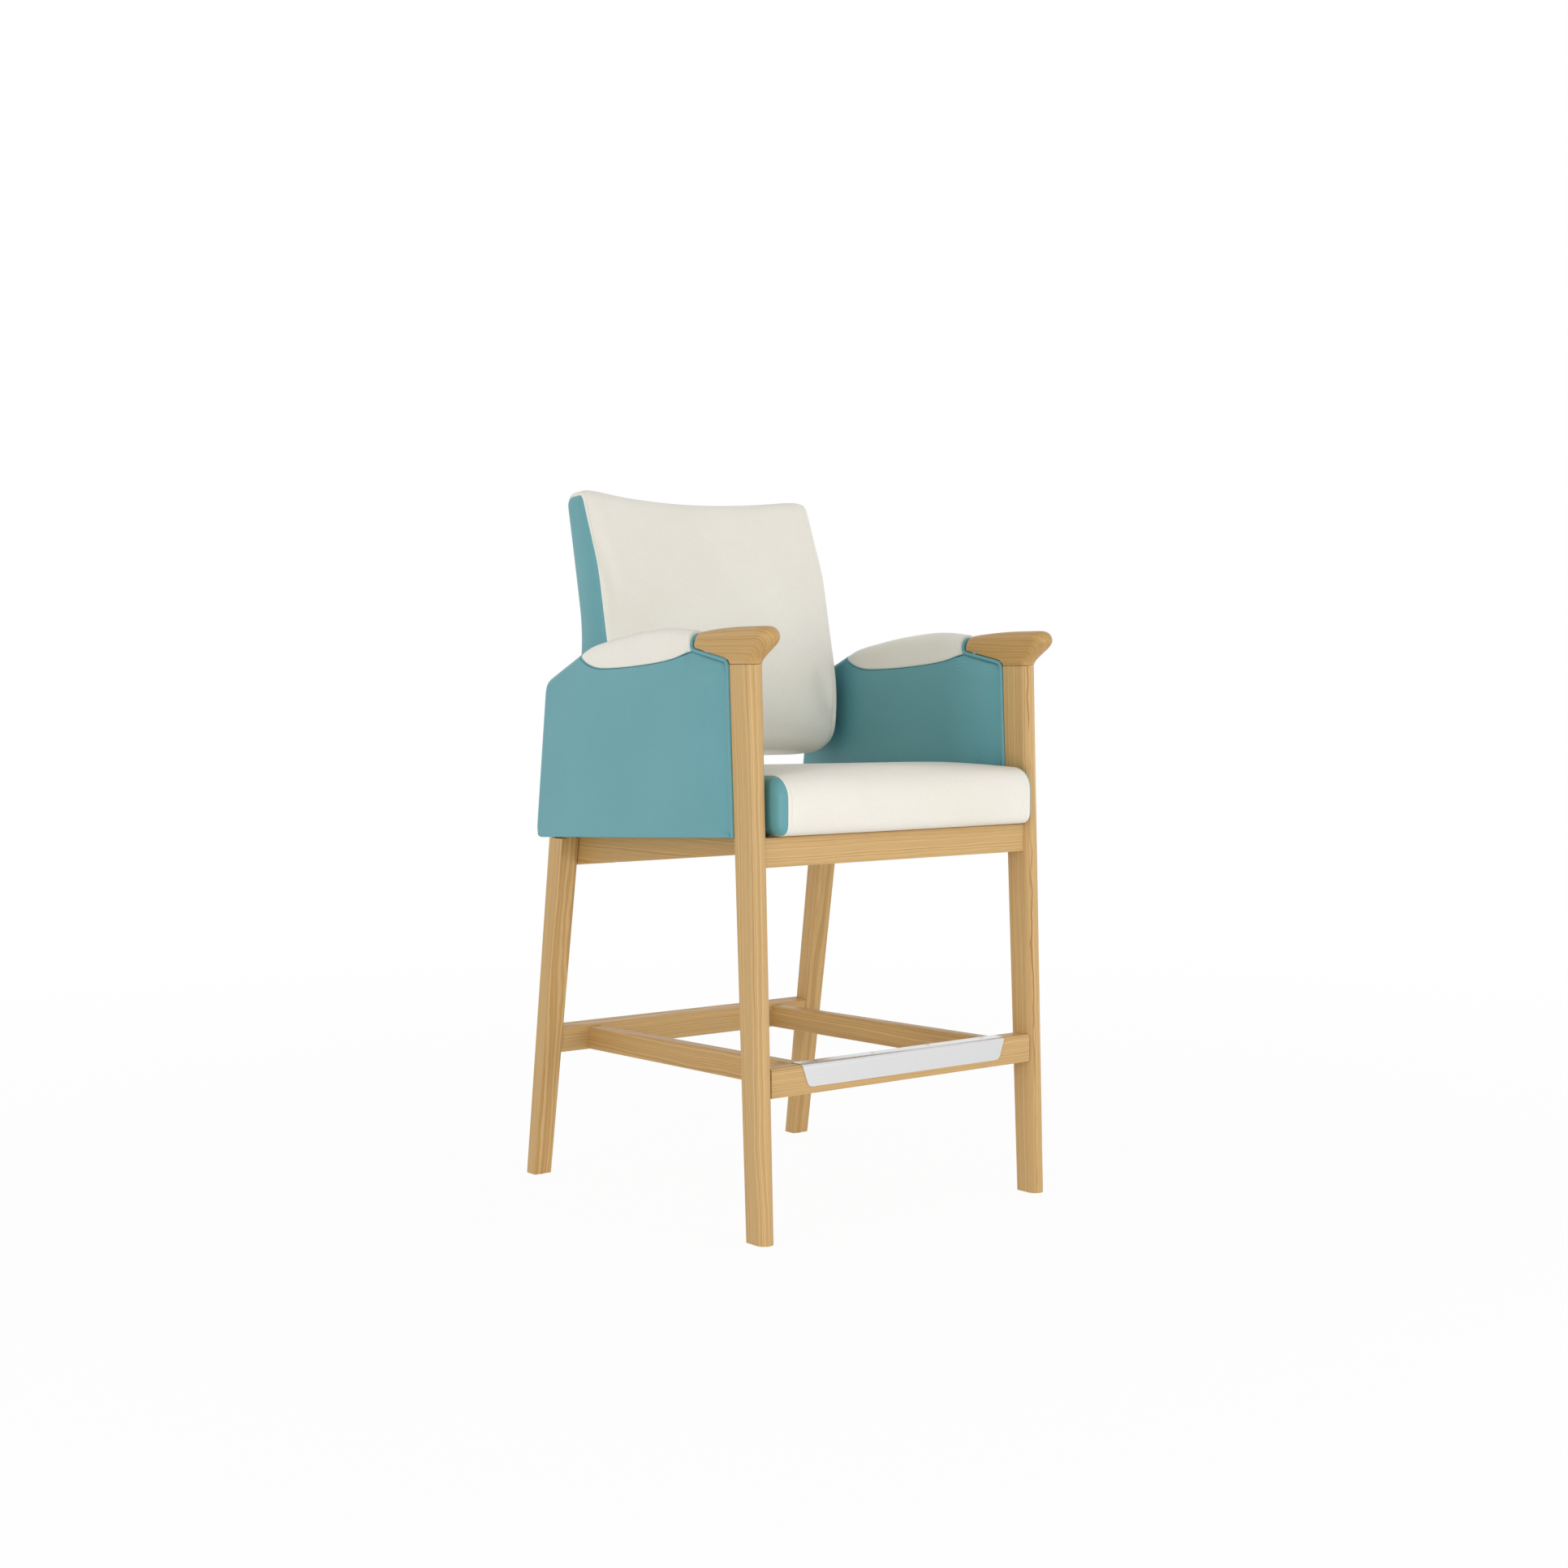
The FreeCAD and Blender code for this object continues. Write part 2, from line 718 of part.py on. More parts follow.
def rear_leg_blank(side, sign):
    centre = leg_centre * sign
    half_low = D.rear_leg_width_foot / 2
    half_high = D.rear_leg_width_top / 2
    low = ((centre - half_low, centre + half_low), (rear_foot_front, rear_foot_rear))
    high = ((centre - half_high, centre + half_high), (rear_top_front, rear_top_rear))
    post = upright(f"rear_post_{side}", low, high, (foot, shoulder))
    post = rounded(f"rear_post_{side}_rounded", post, lambda edge: along(edge, AXIS_Z), D.edge_round)
    tongue_top = shoulder + D.rear_tongue_length
    x = across(sign, board_inner, board_outer)
    low = (x, (rear_leg_front(shoulder), rear_leg_rear(shoulder)))
    high = (x, (rear_leg_front(tongue_top), rear_leg_rear(tongue_top)))
    tongue = upright(f"rear_tongue_{side}", low, high, (shoulder, tongue_top))
    return fuse(f"rear_leg_{side}_blank", [post, tongue])


front_blanks = {side: front_leg_blank(side, sign) for side, sign in SIDES}
rear_blanks = {side: rear_leg_blank(side, sign) for side, sign in SIDES}


def bar(name, x, y, z, axis):
    """A rail or stretcher with its long edges eased."""
    plain = block(f"{name}_bar", x, y, z)
    return rounded(f"{name}_eased", plain, lambda edge: along(edge, axis), D.edge_round)


def rear_stretcher_outline():
    """Side view of the rear stretcher, which leans with the rear legs."""
    thickness = D.rear_stretcher_thickness
    rise = thickness * (rear_foot_front - rear_top_front) / (shoulder - foot)
    low = rear_stretcher_low
    top = D.rear_stretcher_top
    front_low = rear_leg_front(low) + D.rear_stretcher_setback
    front_top = rear_leg_front(top) + D.rear_stretcher_setback
    return [
        (front_low, low), (front_low + thickness, low + rise),
        (front_top + thickness, top + rise), (front_top, top),
    ]


def frame_blanks():
    """Rails and stretchers, trimmed to the legs that they meet."""
    blanks = {}
    blanks["front_seat_rail"] = bar(
        "front_seat_rail", (-leg_inner, leg_inner), (front_rail_face, front_rail_back),
        (front_rail_low, D.rail_top), AXIS_X,
    )
    rear_rail = bar(
        "rear_seat_rail", (-leg_centre, leg_centre), (rear_rail_face, rear_rail_back),
        (rear_rail_low, rear_rail_top), AXIS_X,
    )
    blanks["rear_seat_rail"] = cut("rear_seat_rail_trimmed", rear_rail, list(rear_blanks.values()))
    rear_stretcher = board(
        "rear_stretcher_bar", "YZ_Plane", rear_stretcher_outline(), leg_centre * 2, x=-leg_centre,
    )
    rear_stretcher = rounded(
        "rear_stretcher_eased", rear_stretcher, lambda edge: along(edge, AXIS_X), D.edge_round
    )
    blanks["rear_stretcher"] = cut("rear_stretcher_trimmed", rear_stretcher, list(rear_blanks.values()))
    for side, sign in SIDES:
        name = f"side_seat_rail_{side}"
        blanks[name] = side_bar(
            name, across(sign, rail_inner, rail_outer), (front_rail_back, rear_rail_face),
            (D.rail_top - D.side_rail_height_front, D.rail_top),
            (side_rail_rear_top - D.side_rail_height_rear, side_rail_rear_top),
        )
        name = f"side_stretcher_{side}"
        stretcher = side_bar(
            name, across(sign, side_stretcher_inner, side_stretcher_outer),
            (front_stretcher_back, rear_stretcher_face + D.rear_stretcher_thickness / 4),
            (side_stretcher_front_top - D.side_stretcher_height_front, side_stretcher_front_top),
            (side_stretcher_rear_top - D.side_stretcher_height_rear, side_stretcher_rear_top),
        )
        blanks[name] = cut(f"{name}_trimmed", stretcher, [rear_stretcher])
    plain = block(
        "front_stretcher_bar", (-leg_inner, leg_inner), (front_stretcher_face, front_stretcher_back),
        (front_stretcher_low, D.footrest_height),
    )
    nose_line = (float(front_stretcher_face), float(D.footrest_height))

    def at_nose(edge):
        middle = edge.CenterOfMass
        return along(edge, AXIS_X) and math.dist((middle.y, middle.z), nose_line) < LEAST_ROUND

    blanks["front_stretcher"] = rounded("front_stretcher_nosed", plain, at_nose, D.front_stretcher_nose)
    return blanks


# Footrest plate

def footrest_plate():
    """A bent plate over the top and front of the stretcher, with slanted ends on its face."""
    half = leg_inner - D.plate_margin
    top = D.footrest_height + D.plate_thickness
    low = top - D.plate_thickness - D.plate_face_height
    front = front_stretcher_face - D.plate_thickness
    rear = front_stretcher_face + D.plate_flange_depth
    outer = block("plate_outer", (-half, half), (front, rear), (low, top))
    nose_line = (float(front), float(top))

    def at_nose(edge):
        middle = edge.CenterOfMass
        return along(edge, AXIS_X) and math.dist((middle.y, middle.z), nose_line) < LEAST_ROUND

    outer = rounded("plate_nosed", outer, at_nose, D.front_stretcher_nose + D.plate_thickness)
    sheet_metal = cut("plate_bent", outer, [frame["front_stretcher"]])
    narrow = half - D.plate_slant
    face = board(
        "plate_face", "XZ_Plane", [(-narrow, low), (narrow, low), (half, top), (-half, top)],
        rear - front, y=rear,
    )
    face = rounded(
        "plate_face_rounded", face,
        lambda edge: along(edge, AXIS_Y) and edge.CenterOfMass.z < float(D.footrest_height) - 1,
        D.plate_corner_round,
    )
    item = doc.addObject("Part::MultiCommon", "plate_shaped")
    item.Shapes = [sheet_metal, face]
    return item


def plate_screws():
    """Countersunk screws through the flange of the plate, flush with its top."""
    screws = []
    top = D.footrest_height + D.plate_thickness
    y = front_stretcher_face + D.front_stretcher_nose + (D.plate_flange_depth - D.front_stretcher_nose) / 2
    for rank, share in enumerate(PLATE_SCREW_PLACES):
        x = D.plate_screw_spacing * share
        head = doc.addObject("Part::Cone", f"plate_screw_{rank}_head")
        bind(head, "Radius1", D.plate_screw_radius * 2)
        bind(head, "Radius2", D.plate_screw_radius)
        bind(head, "Height", D.plate_screw_radius)
        place(head, x, y, top, TURNS["-z"])
        start = (x, y, top)
        shank = rod(f"plate_screw_{rank}_shank", D.plate_screw_radius, D.plate_screw_length, start, "-z")
        screws.append(fuse(f"plate_screw_{rank}", [head, shank]))
    return screws


# Corner blocks and their screws

def corner_blocks():
    """Triangular blocks in the corners of the seat rails, which carry the seat."""
    blocks = {}
    for side, sign in SIDES:
        corner_x = rail_inner * sign
        inward_x = (rail_inner - D.block_leg) * sign
        front = board(
            f"block_front_{side}", "XY_Plane",
            [(corner_x, front_rail_back), (inward_x, front_rail_back),
             (corner_x, front_rail_back + D.block_leg)],
            D.block_height, z=seat_low - D.block_height,
        )
        blocks[f"corner_block_front_{side}"] = front
        rear = board(
            f"block_rear_{side}", "XY_Plane",
            [(corner_x, rear_rail_face), (inward_x, rear_rail_face),
             (corner_x, rear_rail_face - D.block_leg)],
            D.rear_block_height, z=seat_low - D.rear_block_height,
        )
        blocks[f"corner_block_rear_{side}"] = rear
    return blocks


def screw(name, start, way, length=D.screw_length):
    head = rod(f"{name}_head", D.screw_head_radius, D.screw_head_height, start, way)
    shank = rod(f"{name}_shank", D.screw_radius, length, start, way)
    return fuse(name, [head, shank])


def block_screws():
    """Two screws in each corner block, one into each rail, and the bores that their heads sit in."""
    screws = []
    bores = []
    corners = (
        ("front", front_rail_back, 1, front_rail_middle, side_rail_front_middle),
        ("rear", rear_rail_face, -1, rear_rail_middle, side_rail_rear_middle),
    )
    for side, sign in SIDES:
        for end, y, inward, rail_z, side_z in corners:
            name = f"block_screw_{end}_{side}"
            start = ((rail_inner - D.block_screw_offset) * sign, y + D.block_screw_seat * inward, rail_z)
            toward, away = ("-y", "+y") if inward > 0 else ("+y", "-y")
            screws.append(screw(f"{name}_rail", start, toward))
            bores.append(rod(f"{name}_rail_bore", D.screw_head_radius, D.block_leg, start, away))
            start = ((rail_inner - D.block_screw_seat) * sign, y + D.block_side_offset * inward, side_z)
            toward, away = ("+x", "-x") if sign > 0 else ("-x", "+x")
            screws.append(screw(f"{name}_side", start, toward))
            bores.append(rod(f"{name}_side_bore", D.screw_head_radius, D.block_leg, start, away))
    return screws, bores


def seat_screws():
    """Screws up through the corner blocks into the seat board."""
    screws = []
    corners = (
        ("front", front_rail_back + D.seat_screw_along, D.block_height),
        ("rear", rear_rail_face - D.seat_screw_along, D.rear_block_height),
    )
    for side, sign in SIDES:
        for end, y, height in corners:
            start = ((rail_inner - D.seat_screw_across) * sign, y, seat_low - height - D.screw_head_height)
            length = D.screw_head_height + height + D.cover_thickness + D.seat_screw_bite
            screws.append(screw(f"seat_screw_{end}_{side}", start, "+z", length))
    return screws


# Seat cushion

def crown_share(x, half):
    """One in the middle of a cushion, nothing at its side seams."""
    return 1.0 - (x / float(half)) ** 2


def seat_corners(x):
    swell = crown_share(x, seat_half)
    front = float(seat_front) + float(D.seat_front_bulge) * (1.0 - swell)
    crown = float(D.seat_crown) * swell
    top_front = float(seat_high) - float(D.seat_crown) + crown
    low = float(seat_low)
    rear = float(seat_rear)
    return [
        (front, low, D.seat_lower_round),
        (rear, low, D.seat_rear_round),
        (rear, top_front - float(D.seat_drop), D.seat_rear_round),
        (front, top_front, D.seat_front_round),
    ]


def seat_form(inset):
    wires = []
    for share in CROSS_SHARES[::2]:
        x = float(seat_half) * share
        wires.append(outline_wire(seat_corners(x), inset, side_view(x)))
    return loft(wires)


def bulged_side(corners, start, bulge, depth):
    """A rounded side panel that swells outwards from a cushion's side seam."""
    wires = []
    for out, drawn_in in BULGE_STEPS:
        x = float(start) + float(bulge) * out
        wires.append(outline_wire(corners, depth * drawn_in, side_view(x)))
    return loft(wires)


def seat_board_outline():
    half = seat_half - D.seat_board_inset / 2
    front = seat_front + D.seat_lower_round + D.seat_board_inset / 2
    rear = seat_rear - D.seat_rear_round - D.cover_thickness
    return [(-half, front), (half, front), (half, rear), (-half, rear)]


# Back cushion

def back_corners(x):
    """Side profile of the back at a place across it: hollow in plan, dipped top, rounded corners."""
    swell = crown_share(x, back_half)
    shift = float(D.back_concave) * swell
    edge = abs(x) - float(back_half)

    def corner_lift(radius):
        past = edge + float(radius)
        if past <= 0:
            return 0.0
        return float(radius) - math.sqrt(max(float(radius) ** 2 - past ** 2, 0.0))

    low = float(back_low) + corner_lift(D.back_corner_low)
    dip = float(D.back_dip) * swell + corner_lift(D.back_corner_high)
    top = float(back_low + D.back_height) - dip
    rear = float(D.back_rear_reach) + shift
    lean = float(D.back_lean)
    lumbar = float(back_low + D.back_lumbar_height)
    waist = float(back_low + D.back_waist_height)
    shoulder_z = float(back_low + D.back_shoulder_height)
    run = (shoulder_z - waist) / (float(back_low + D.back_height) - waist)
    shoulder_rear = rear + lean * run
    foot_out = float(D.back_foot_out)
    thick = types.SimpleNamespace(
        foot=float(D.back_thickness_foot), lumbar=float(D.back_thickness_lumbar),
        shoulder=float(D.back_thickness_shoulder), top=float(D.back_thickness_top),
    )
    return [
        (rear - thick.foot, low + float(D.back_foot_rise), D.back_corner_low),
        (rear + foot_out, low, D.edge_round * 2),
        (rear, waist, D.back_height),
        (rear + lean, top, D.edge_round * 4),
        (rear + lean - thick.top, top, D.edge_round * 6),
        (shoulder_rear - thick.shoulder, shoulder_z, D.back_height),
        (rear - thick.lumbar, lumbar, D.back_height),
    ]


def back_form(inset):
    wires = []
    for share in CROSS_SHARES:
        x = float(back_half) * share
        wires.append(outline_wire(back_corners(x), inset, side_view(x)))
    return loft(wires)


def back_board_form():
    """A bent plywood board near the rear of the back."""
    wires = []
    half = float(back_half) - float(D.back_board_inset)
    for share in CROSS_SHARES[::2]:
        x = half * share
        swell = crown_share(x, back_half)
        rear = float(D.back_rear_reach) + float(D.back_concave) * swell - float(D.back_board_cover)
        front = rear - float(D.back_board_thickness)
        lean = float(D.back_lean) * BACK_BOARD_LEAN_SHARE
        low = float(back_low) + float(D.back_board_inset)
        waist = float(back_low + D.back_waist_height)
        top = float(back_low + D.back_height) - float(D.back_dip) - float(D.back_board_inset)
        corners = [
            (front, low, LEAST_ROUND), (rear, low, LEAST_ROUND), (rear, waist, D.back_height),
            (rear + lean, top, LEAST_ROUND), (front + lean, top, LEAST_ROUND),
            (front, waist, D.back_height),
        ]
        wires.append(outline_wire(corners, 0.0, side_view(x)))
    return loft(wires)


back_bolt_y = D.back_rear_reach - D.back_bolt_setback
back_bolt_heights = (back_low + D.back_bolt_height, back_low + D.back_bolt_height + D.back_bolt_pitch)
back_block_outer = back_half - D.back_block_inset
back_block_low = back_low + D.back_bolt_height + D.back_bolt_pitch / 2 - D.back_block_height / 2


def back_side_block(side, sign):
    x = across(sign, back_block_outer - D.back_block_width, back_block_outer)
    y = (back_bolt_y - D.back_block_depth / 2, back_bolt_y + D.back_block_depth / 2)
    return block(f"back_block_{side}", x, y, (back_block_low, back_block_low + D.back_block_height))


def back_bolts():
    """Bolts from the arm boards into the back, the spacers round them and the room these take."""
    bolts = []
    spacers = []
    rooms = []
    for side, sign in SIDES:
        way, other = ("-x", "+x") if sign > 0 else ("+x", "-x")
        for rank, z in enumerate(back_bolt_heights):
            name = f"back_bolt_{side}_{rank}"
            start = (board_outer * sign, back_bolt_y, z)
            length = board_outer - back_block_outer + D.back_bolt_bite
            shank = rod(f"{name}_shank", D.back_bolt_radius, length, start, way)
            head = rod(f"{name}_head", D.back_bolt_head_radius, D.back_bolt_head_height, start, other)
            bolts.append(fuse(name, [shank, head]))
            start = (board_inner * sign, back_bolt_y, z)
            length = board_inner - back_block_outer
            tube = rod(f"spacer_{side}_{rank}_tube", D.spacer_radius, length, start, way)
            bore = rod(
                f"spacer_{side}_{rank}_bore", D.back_bolt_radius + D.spacer_play, length, start, way
            )
            spacers.append(cut(f"spacer_{side}_{rank}", tube, [bore]))
            rooms.append(tube)
    return bolts, spacers, rooms


# Arm panels

def welt_gap():
    return D.welt_radius * 2 + D.welt_clearance


pad_front = front_top_rear + D.cap_rear_overhang + welt_gap()
pad_rear = pad_front + D.pad_length
panel_rear_low = rear_top_rear + D.panel_rear_overhang
panel_rear_high = panel_rear_low - D.panel_rear_lean
panel_rear_top = D.rail_top + D.panel_rear_height


def pad_low(rank):
    return joint + D.pad_height * PAD_STATIONS[rank][1]


def pad_top(rank):
    return joint + D.pad_height * PAD_STATIONS[rank][2]


def pad_station(rank):
    return pad_front + D.pad_length * PAD_STATIONS[rank][0]


def neck_corners():
    """The two bends of the panel's front edge: over the leg's top and behind the cap."""
    bend_z = joint + D.welt_radius
    bend = (front_leg_rear(bend_z) + welt_gap(), bend_z, D.panel_rear_round)
    heel = (pad_front, joint + D.panel_seam_height - D.panel_edge_round, D.panel_edge_round)
    return bend, heel


def panel_corners():
    """Side view of an arm panel, anticlockwise from its lower front corner."""
    bend, heel = neck_corners()
    last = len(PAD_STATIONS) - 1
    inside = [between(pad_low(rank), pad_top(rank), PAD_INSIDE_SHARE) for rank in range(last + 1)]
    return [
        (front_leg_rear(panel_low_front) + welt_gap(), panel_low_front, D.edge_round),
        (panel_rear_low, panel_low_rear, D.panel_foot_round),
        (panel_rear_high, panel_rear_top, D.panel_rear_round),
        (pad_station(last), pad_top(last), D.edge_round),
        (pad_station(PAD_LOWEST), inside[PAD_LOWEST], D.edge_round),
        (pad_station(0), inside[0], D.edge_round),
        heel,
        bend,
    ]


def panel_form():
    """The padded panel: its outline, drawn in towards both faces."""
    corners = panel_corners()
    depth = float(D.panel_edge_round)
    wires = []
    for out, drawn_in in reversed(BULGE_STEPS):
        x = float(panel_inner) + depth * (1.0 - out)
        wires.append(outline_wire(corners, depth * drawn_in, side_view(x)))
    for out, drawn_in in BULGE_STEPS:
        x = float(panel_outer) - depth * (1.0 - out)
        wires.append(outline_wire(corners, depth * drawn_in, side_view(x)))
    return loft(wires, ruled=True)


def pad_form():
    """The crowned pad on top of an arm panel, from its front end to its tail."""
    inner = float(panel_inner - D.pad_overhang)
    outer = float(panel_outer + D.pad_overhang)
    wires = []
    for rank in range(len(PAD_STATIONS)):
        low = float(pad_low(rank))
        top = float(pad_top(rank))
        crown = min((outer - inner) * PAD_CROWN_SHARE, (top - low) * PAD_CROWN_LIMIT)
        corners = [
            (inner, low, LEAST_ROUND), (outer, low, LEAST_ROUND), (outer, top, crown), (inner, top, crown),
        ]
        wires.append(outline_wire(corners, 0.0, end_view(pad_station(rank))))
    return loft(wires)


def arm_board_outline():
    """The plywood board inside an arm panel, against the front leg."""
    margin = D.arm_board_margin
    top = joint - margin
    low = panel_low_front + margin
    return [
        (front_leg_rear(low), low),
        (panel_rear_low - margin, panel_low_rear + margin),
        (panel_rear_high - margin, panel_rear_top - margin),
        (pad_station(PAD_LOWEST), pad_low(PAD_LOWEST) - margin),
        (front_leg_rear(top), top),
    ]


def welt_form():
    """Piping up the outer front edge of a panel, over behind the cap and down the inner edge."""
    radius = float(D.welt_radius)
    bend, heel = neck_corners()
    reach = radius + float(D.welt_clearance) / 2
    start = FreeCAD.Vector(float(front_leg_rear(panel_low_front)) + reach, float(panel_low_front), 0)
    turn_low = FreeCAD.Vector(float(bend[0]) - reach, float(bend[1]) + reach * WELT_TURN_SHARE, 0)
    turn_high = FreeCAD.Vector(float(heel[0]) - reach, float(heel[1]) + reach * WELT_TURN_SHARE, 0)
    outer = float(leg_outer)
    inner = float(leg_inner)
    arch = (outer - inner) / 2
    end = FreeCAD.Vector(turn_high.x, float(pad_top(0) - D.welt_drop) - arch, 0)
    low_arc = corner_arc(start, turn_low, turn_high, float(bend[2]) + reach)
    high_arc = corner_arc(turn_low, turn_high, end, float(heel[2]))
    peak = FreeCAD.Vector(inner + arch, end.x, end.y + arch)
    lean = arch * math.sqrt(0.5)

    def rise(x):
        spot = side_view(x)
        return [
            Part.LineSegment(spot(start), spot(low_arc[0])),
            Part.Arc(*[spot(point) for point in low_arc]),
            Part.LineSegment(spot(low_arc[2]), spot(high_arc[0])),
            Part.Arc(*[spot(point) for point in high_arc]),
            Part.LineSegment(spot(high_arc[2]), spot(end)),
        ]

    def shoulder_point(x):
        sign = math.copysign(1.0, x - peak.x)
        return FreeCAD.Vector(peak.x + sign * lean, end.x, end.y + lean)

    over = [
        Part.Arc(side_view(outer)(end), shoulder_point(outer), peak),
        Part.Arc(peak, shoulder_point(inner), side_view(inner)(end)),
    ]
    outer_edges = [curve.toShape() for curve in rise(outer)]
    inner_edges = [curve.toShape() for curve in reversed(rise(inner))]
    path = Part.Wire(outer_edges + [curve.toShape() for curve in over] + inner_edges)
    ring = Part.Wire(Part.Circle(side_view(outer)(start), AXIS_Z, radius).toShape())
    return path.makePipeShell([ring], True, True)


def heel_share(height):
    """How far the underside of a cap has swept back at a height."""
    last_height = 0.0
    last_share = 0.0
    for next_height, next_share in CAP_HEEL_STEPS:
        if height <= next_height:
            return between(last_share, next_share, (height - last_height) / (next_height - last_height))
        last_height = next_height
        last_share = next_share
    return last_share


def cap_stations():
    """Shares of the cap's height and of its front and rear overhangs, from its foot to its top."""
    stations = []
    for step in CAP_UNDER_STEPS:
        height = CAP_BROAD_SHARE * step
        stations.append((height, step * step * (3 - 2 * step), heel_share(height)))
    for step in CAP_OVER_STEPS:
        height = CAP_BROAD_SHARE + (1 - CAP_BROAD_SHARE) * step
        spread = (1 - step ** 3) ** (1 / 3)
        stations.append((height, spread, spread))
    return stations


def cap_form():
    """A carved hand grip: the leg's section at its foot, a long rounded paddle above."""
    wires = []
    centre = float(leg_centre)
    for height, spread, heel in cap_stations():
        half = float(between(D.front_leg_width, D.cap_width, spread)) / 2
        front = float(front_top_front) - float(D.cap_front_overhang) * spread
        rear = float(front_top_rear) + float(D.cap_rear_overhang) * heel
        ease = min(height / CAP_BROAD_SHARE, 1.0)
        nose = between(float(D.front_leg_round), half * CAP_ROUND_SHARE, ease)
        tail = between(float(D.edge_round), half * CAP_ROUND_SHARE, ease)
        corners = [
            (centre - half, front, nose), (centre + half, front, nose),
            (centre + half, rear, tail), (centre - half, rear, tail),
        ]
        z = float(joint) + float(D.cap_height) * height
        wires.append(outline_wire(corners, 0.0, level(z)))
    return loft(wires, ruled=True)


# Assembly

frame = frame_blanks()
rail_pegs = rail_dowels()
stretcher_pegs = stretcher_dowels()
cap_pegs = cap_dowels()
board_pegs = arm_board_dowels()
glide_feet = glides()
plate_pins = plate_screws()
block_pins, block_bores = block_screws()
seat_pins = seat_screws()
bolts, spacers, spacer_rooms = back_bolts()

keep("rail_dowels", group("rail_pegs", rail_pegs))
keep("stretcher_dowels", group("stretcher_pegs", stretcher_pegs))
keep("cap_dowels", group("cap_pegs", cap_pegs))
keep("arm_board_dowels", group("board_pegs", board_pegs))
keep("glides", group("glide_feet", glide_feet))
keep("footrest_plate_screws", group("plate_pins", plate_pins))
keep("corner_block_screws", group("block_pins", block_pins))
keep("seat_screws", group("seat_pins", seat_pins))
keep("back_bolts", group("bolts", bolts))
keep("back_spacers", group("spacers", spacers))

for side, sign in SIDES:
    leg_holes = rail_pegs + stretcher_pegs + cap_pegs + board_pegs + glide_feet
    keep(f"front_leg_{side}", cut(f"front_leg_{side}_drilled", front_blanks[side], leg_holes))
    leg_holes = rail_pegs + stretcher_pegs + board_pegs + glide_feet
    keep(f"rear_leg_{side}", cut(f"rear_leg_{side}_drilled", rear_blanks[side], leg_holes))
    cap = solid(f"cap_{side}", on_side(sign, cap_form()))
    keep(f"arm_cap_{side}", cut(f"cap_{side}_drilled", cap, cap_pegs))

plate = footrest_plate()
keep("footrest_plate", cut("plate_drilled", plate, plate_pins))
for name, blank in frame.items():
    pins = rail_pegs if "rail" in name else stretcher_pegs
    holes = pins + block_pins + plate_pins
    keep(name, cut(f"{name}_drilled", blank, holes))
for name, blank in corner_blocks().items():
    keep(name, cut(f"{name}_drilled", blank, block_pins + block_bores + seat_pins))

seat_outer = solid("seat_outer", seat_form(0.0))
seat_inner = solid("seat_inner", seat_form(float(D.cover_thickness)))
seat_panel = board(
    "seat_panel", "XY_Plane", seat_board_outline(), D.seat_board_thickness, z=seat_low + D.cover_thickness,
)
keep("seat_board", cut("seat_board_drilled", seat_panel, seat_pins))
keep("seat_foam", cut("seat_foam_shaped", seat_inner, [seat_panel]))
keep("seat_cover", cut("seat_cover_sewn", seat_outer, [seat_inner] + seat_pins))
seat_end = seat_corners(float(seat_half))
seat_edge = bulged_side(seat_end, seat_half, D.seat_side_bulge, float(D.seat_lower_round))
for side, sign in SIDES:
    keep(f"seat_side_cover_{side}", solid(f"seat_side_{side}", on_side(sign, seat_edge)))

back_outer = solid("back_outer", back_form(0.0))
back_inner = solid("back_inner", back_form(float(D.cover_thickness)))
back_panel = solid("back_panel", back_board_form())
back_blocks = {side: back_side_block(side, sign) for side, sign in SIDES}
keep("back_board", back_panel)
for side, sign in SIDES:
    blank = cut(f"back_block_{side}_trimmed", back_blocks[side], [back_panel])
    keep(f"back_side_block_{side}", cut(f"back_block_{side}_drilled", blank, bolts))
core = [back_panel] + list(back_blocks.values())
keep("back_foam", cut("back_foam_shaped", back_inner, core + bolts + spacer_rooms))
keep("back_cover", cut("back_cover_sewn", back_outer, [back_inner]))
back_end = back_corners(float(back_half))
back_edge = bulged_side(back_end, back_half, D.back_side_bulge, float(D.edge_round * 4))
for side, sign in SIDES:
    edge_panel = solid(f"back_side_{side}", on_side(sign, back_edge))
    keep(f"back_side_cover_{side}", cut(f"back_side_{side}_drilled", edge_panel, spacer_rooms))

pad_shape = pad_form()
panel_shape = panel_form()
welt_shape = welt_form()
for side, sign in SIDES:
    thickness_place = board_inner if sign > 0 else -board_outer
    core_board = board(
        f"arm_core_{side}", "YZ_Plane", arm_board_outline(), D.arm_board_thickness, x=thickness_place,
    )
    holes = [rear_blanks[side]] + board_pegs + bolts
    keep(f"arm_board_{side}", cut(f"arm_board_{side}_drilled", core_board, holes))
    pad = solid(f"pad_{side}", on_side(sign, pad_shape))
    keep(f"arm_pad_{side}", pad)
    panel = solid(f"panel_{side}", on_side(sign, panel_shape))
    inner_pieces = [pad, core_board, rear_blanks[side]] + board_pegs + bolts + spacer_rooms
    keep(f"arm_panel_{side}", cut(f"panel_{side}_hollowed", panel, inner_pieces))
    keep(f"arm_welt_{side}", solid(f"welt_{side}", on_side(sign, welt_shape)))

doc.recompute()

# Check and write

for item in doc.Objects:
    if "Invalid" in item.State or "Error" in item.State:
        raise RuntimeError(f"{item.Name} failed: {item.State}")
for item in PIECES:
    if item.Shape.isNull() or not item.Shape.isValid() or not item.Shape.Solids:
        raise RuntimeError(f"{item.Label} has no valid shape")
os.makedirs("parts", exist_ok=True)
for item in PIECES:
    item.Shape.exportStep(f"parts/{item.Label}.step")
    print(item.Label, len(item.Shape.Solids), round(item.Shape.Volume))
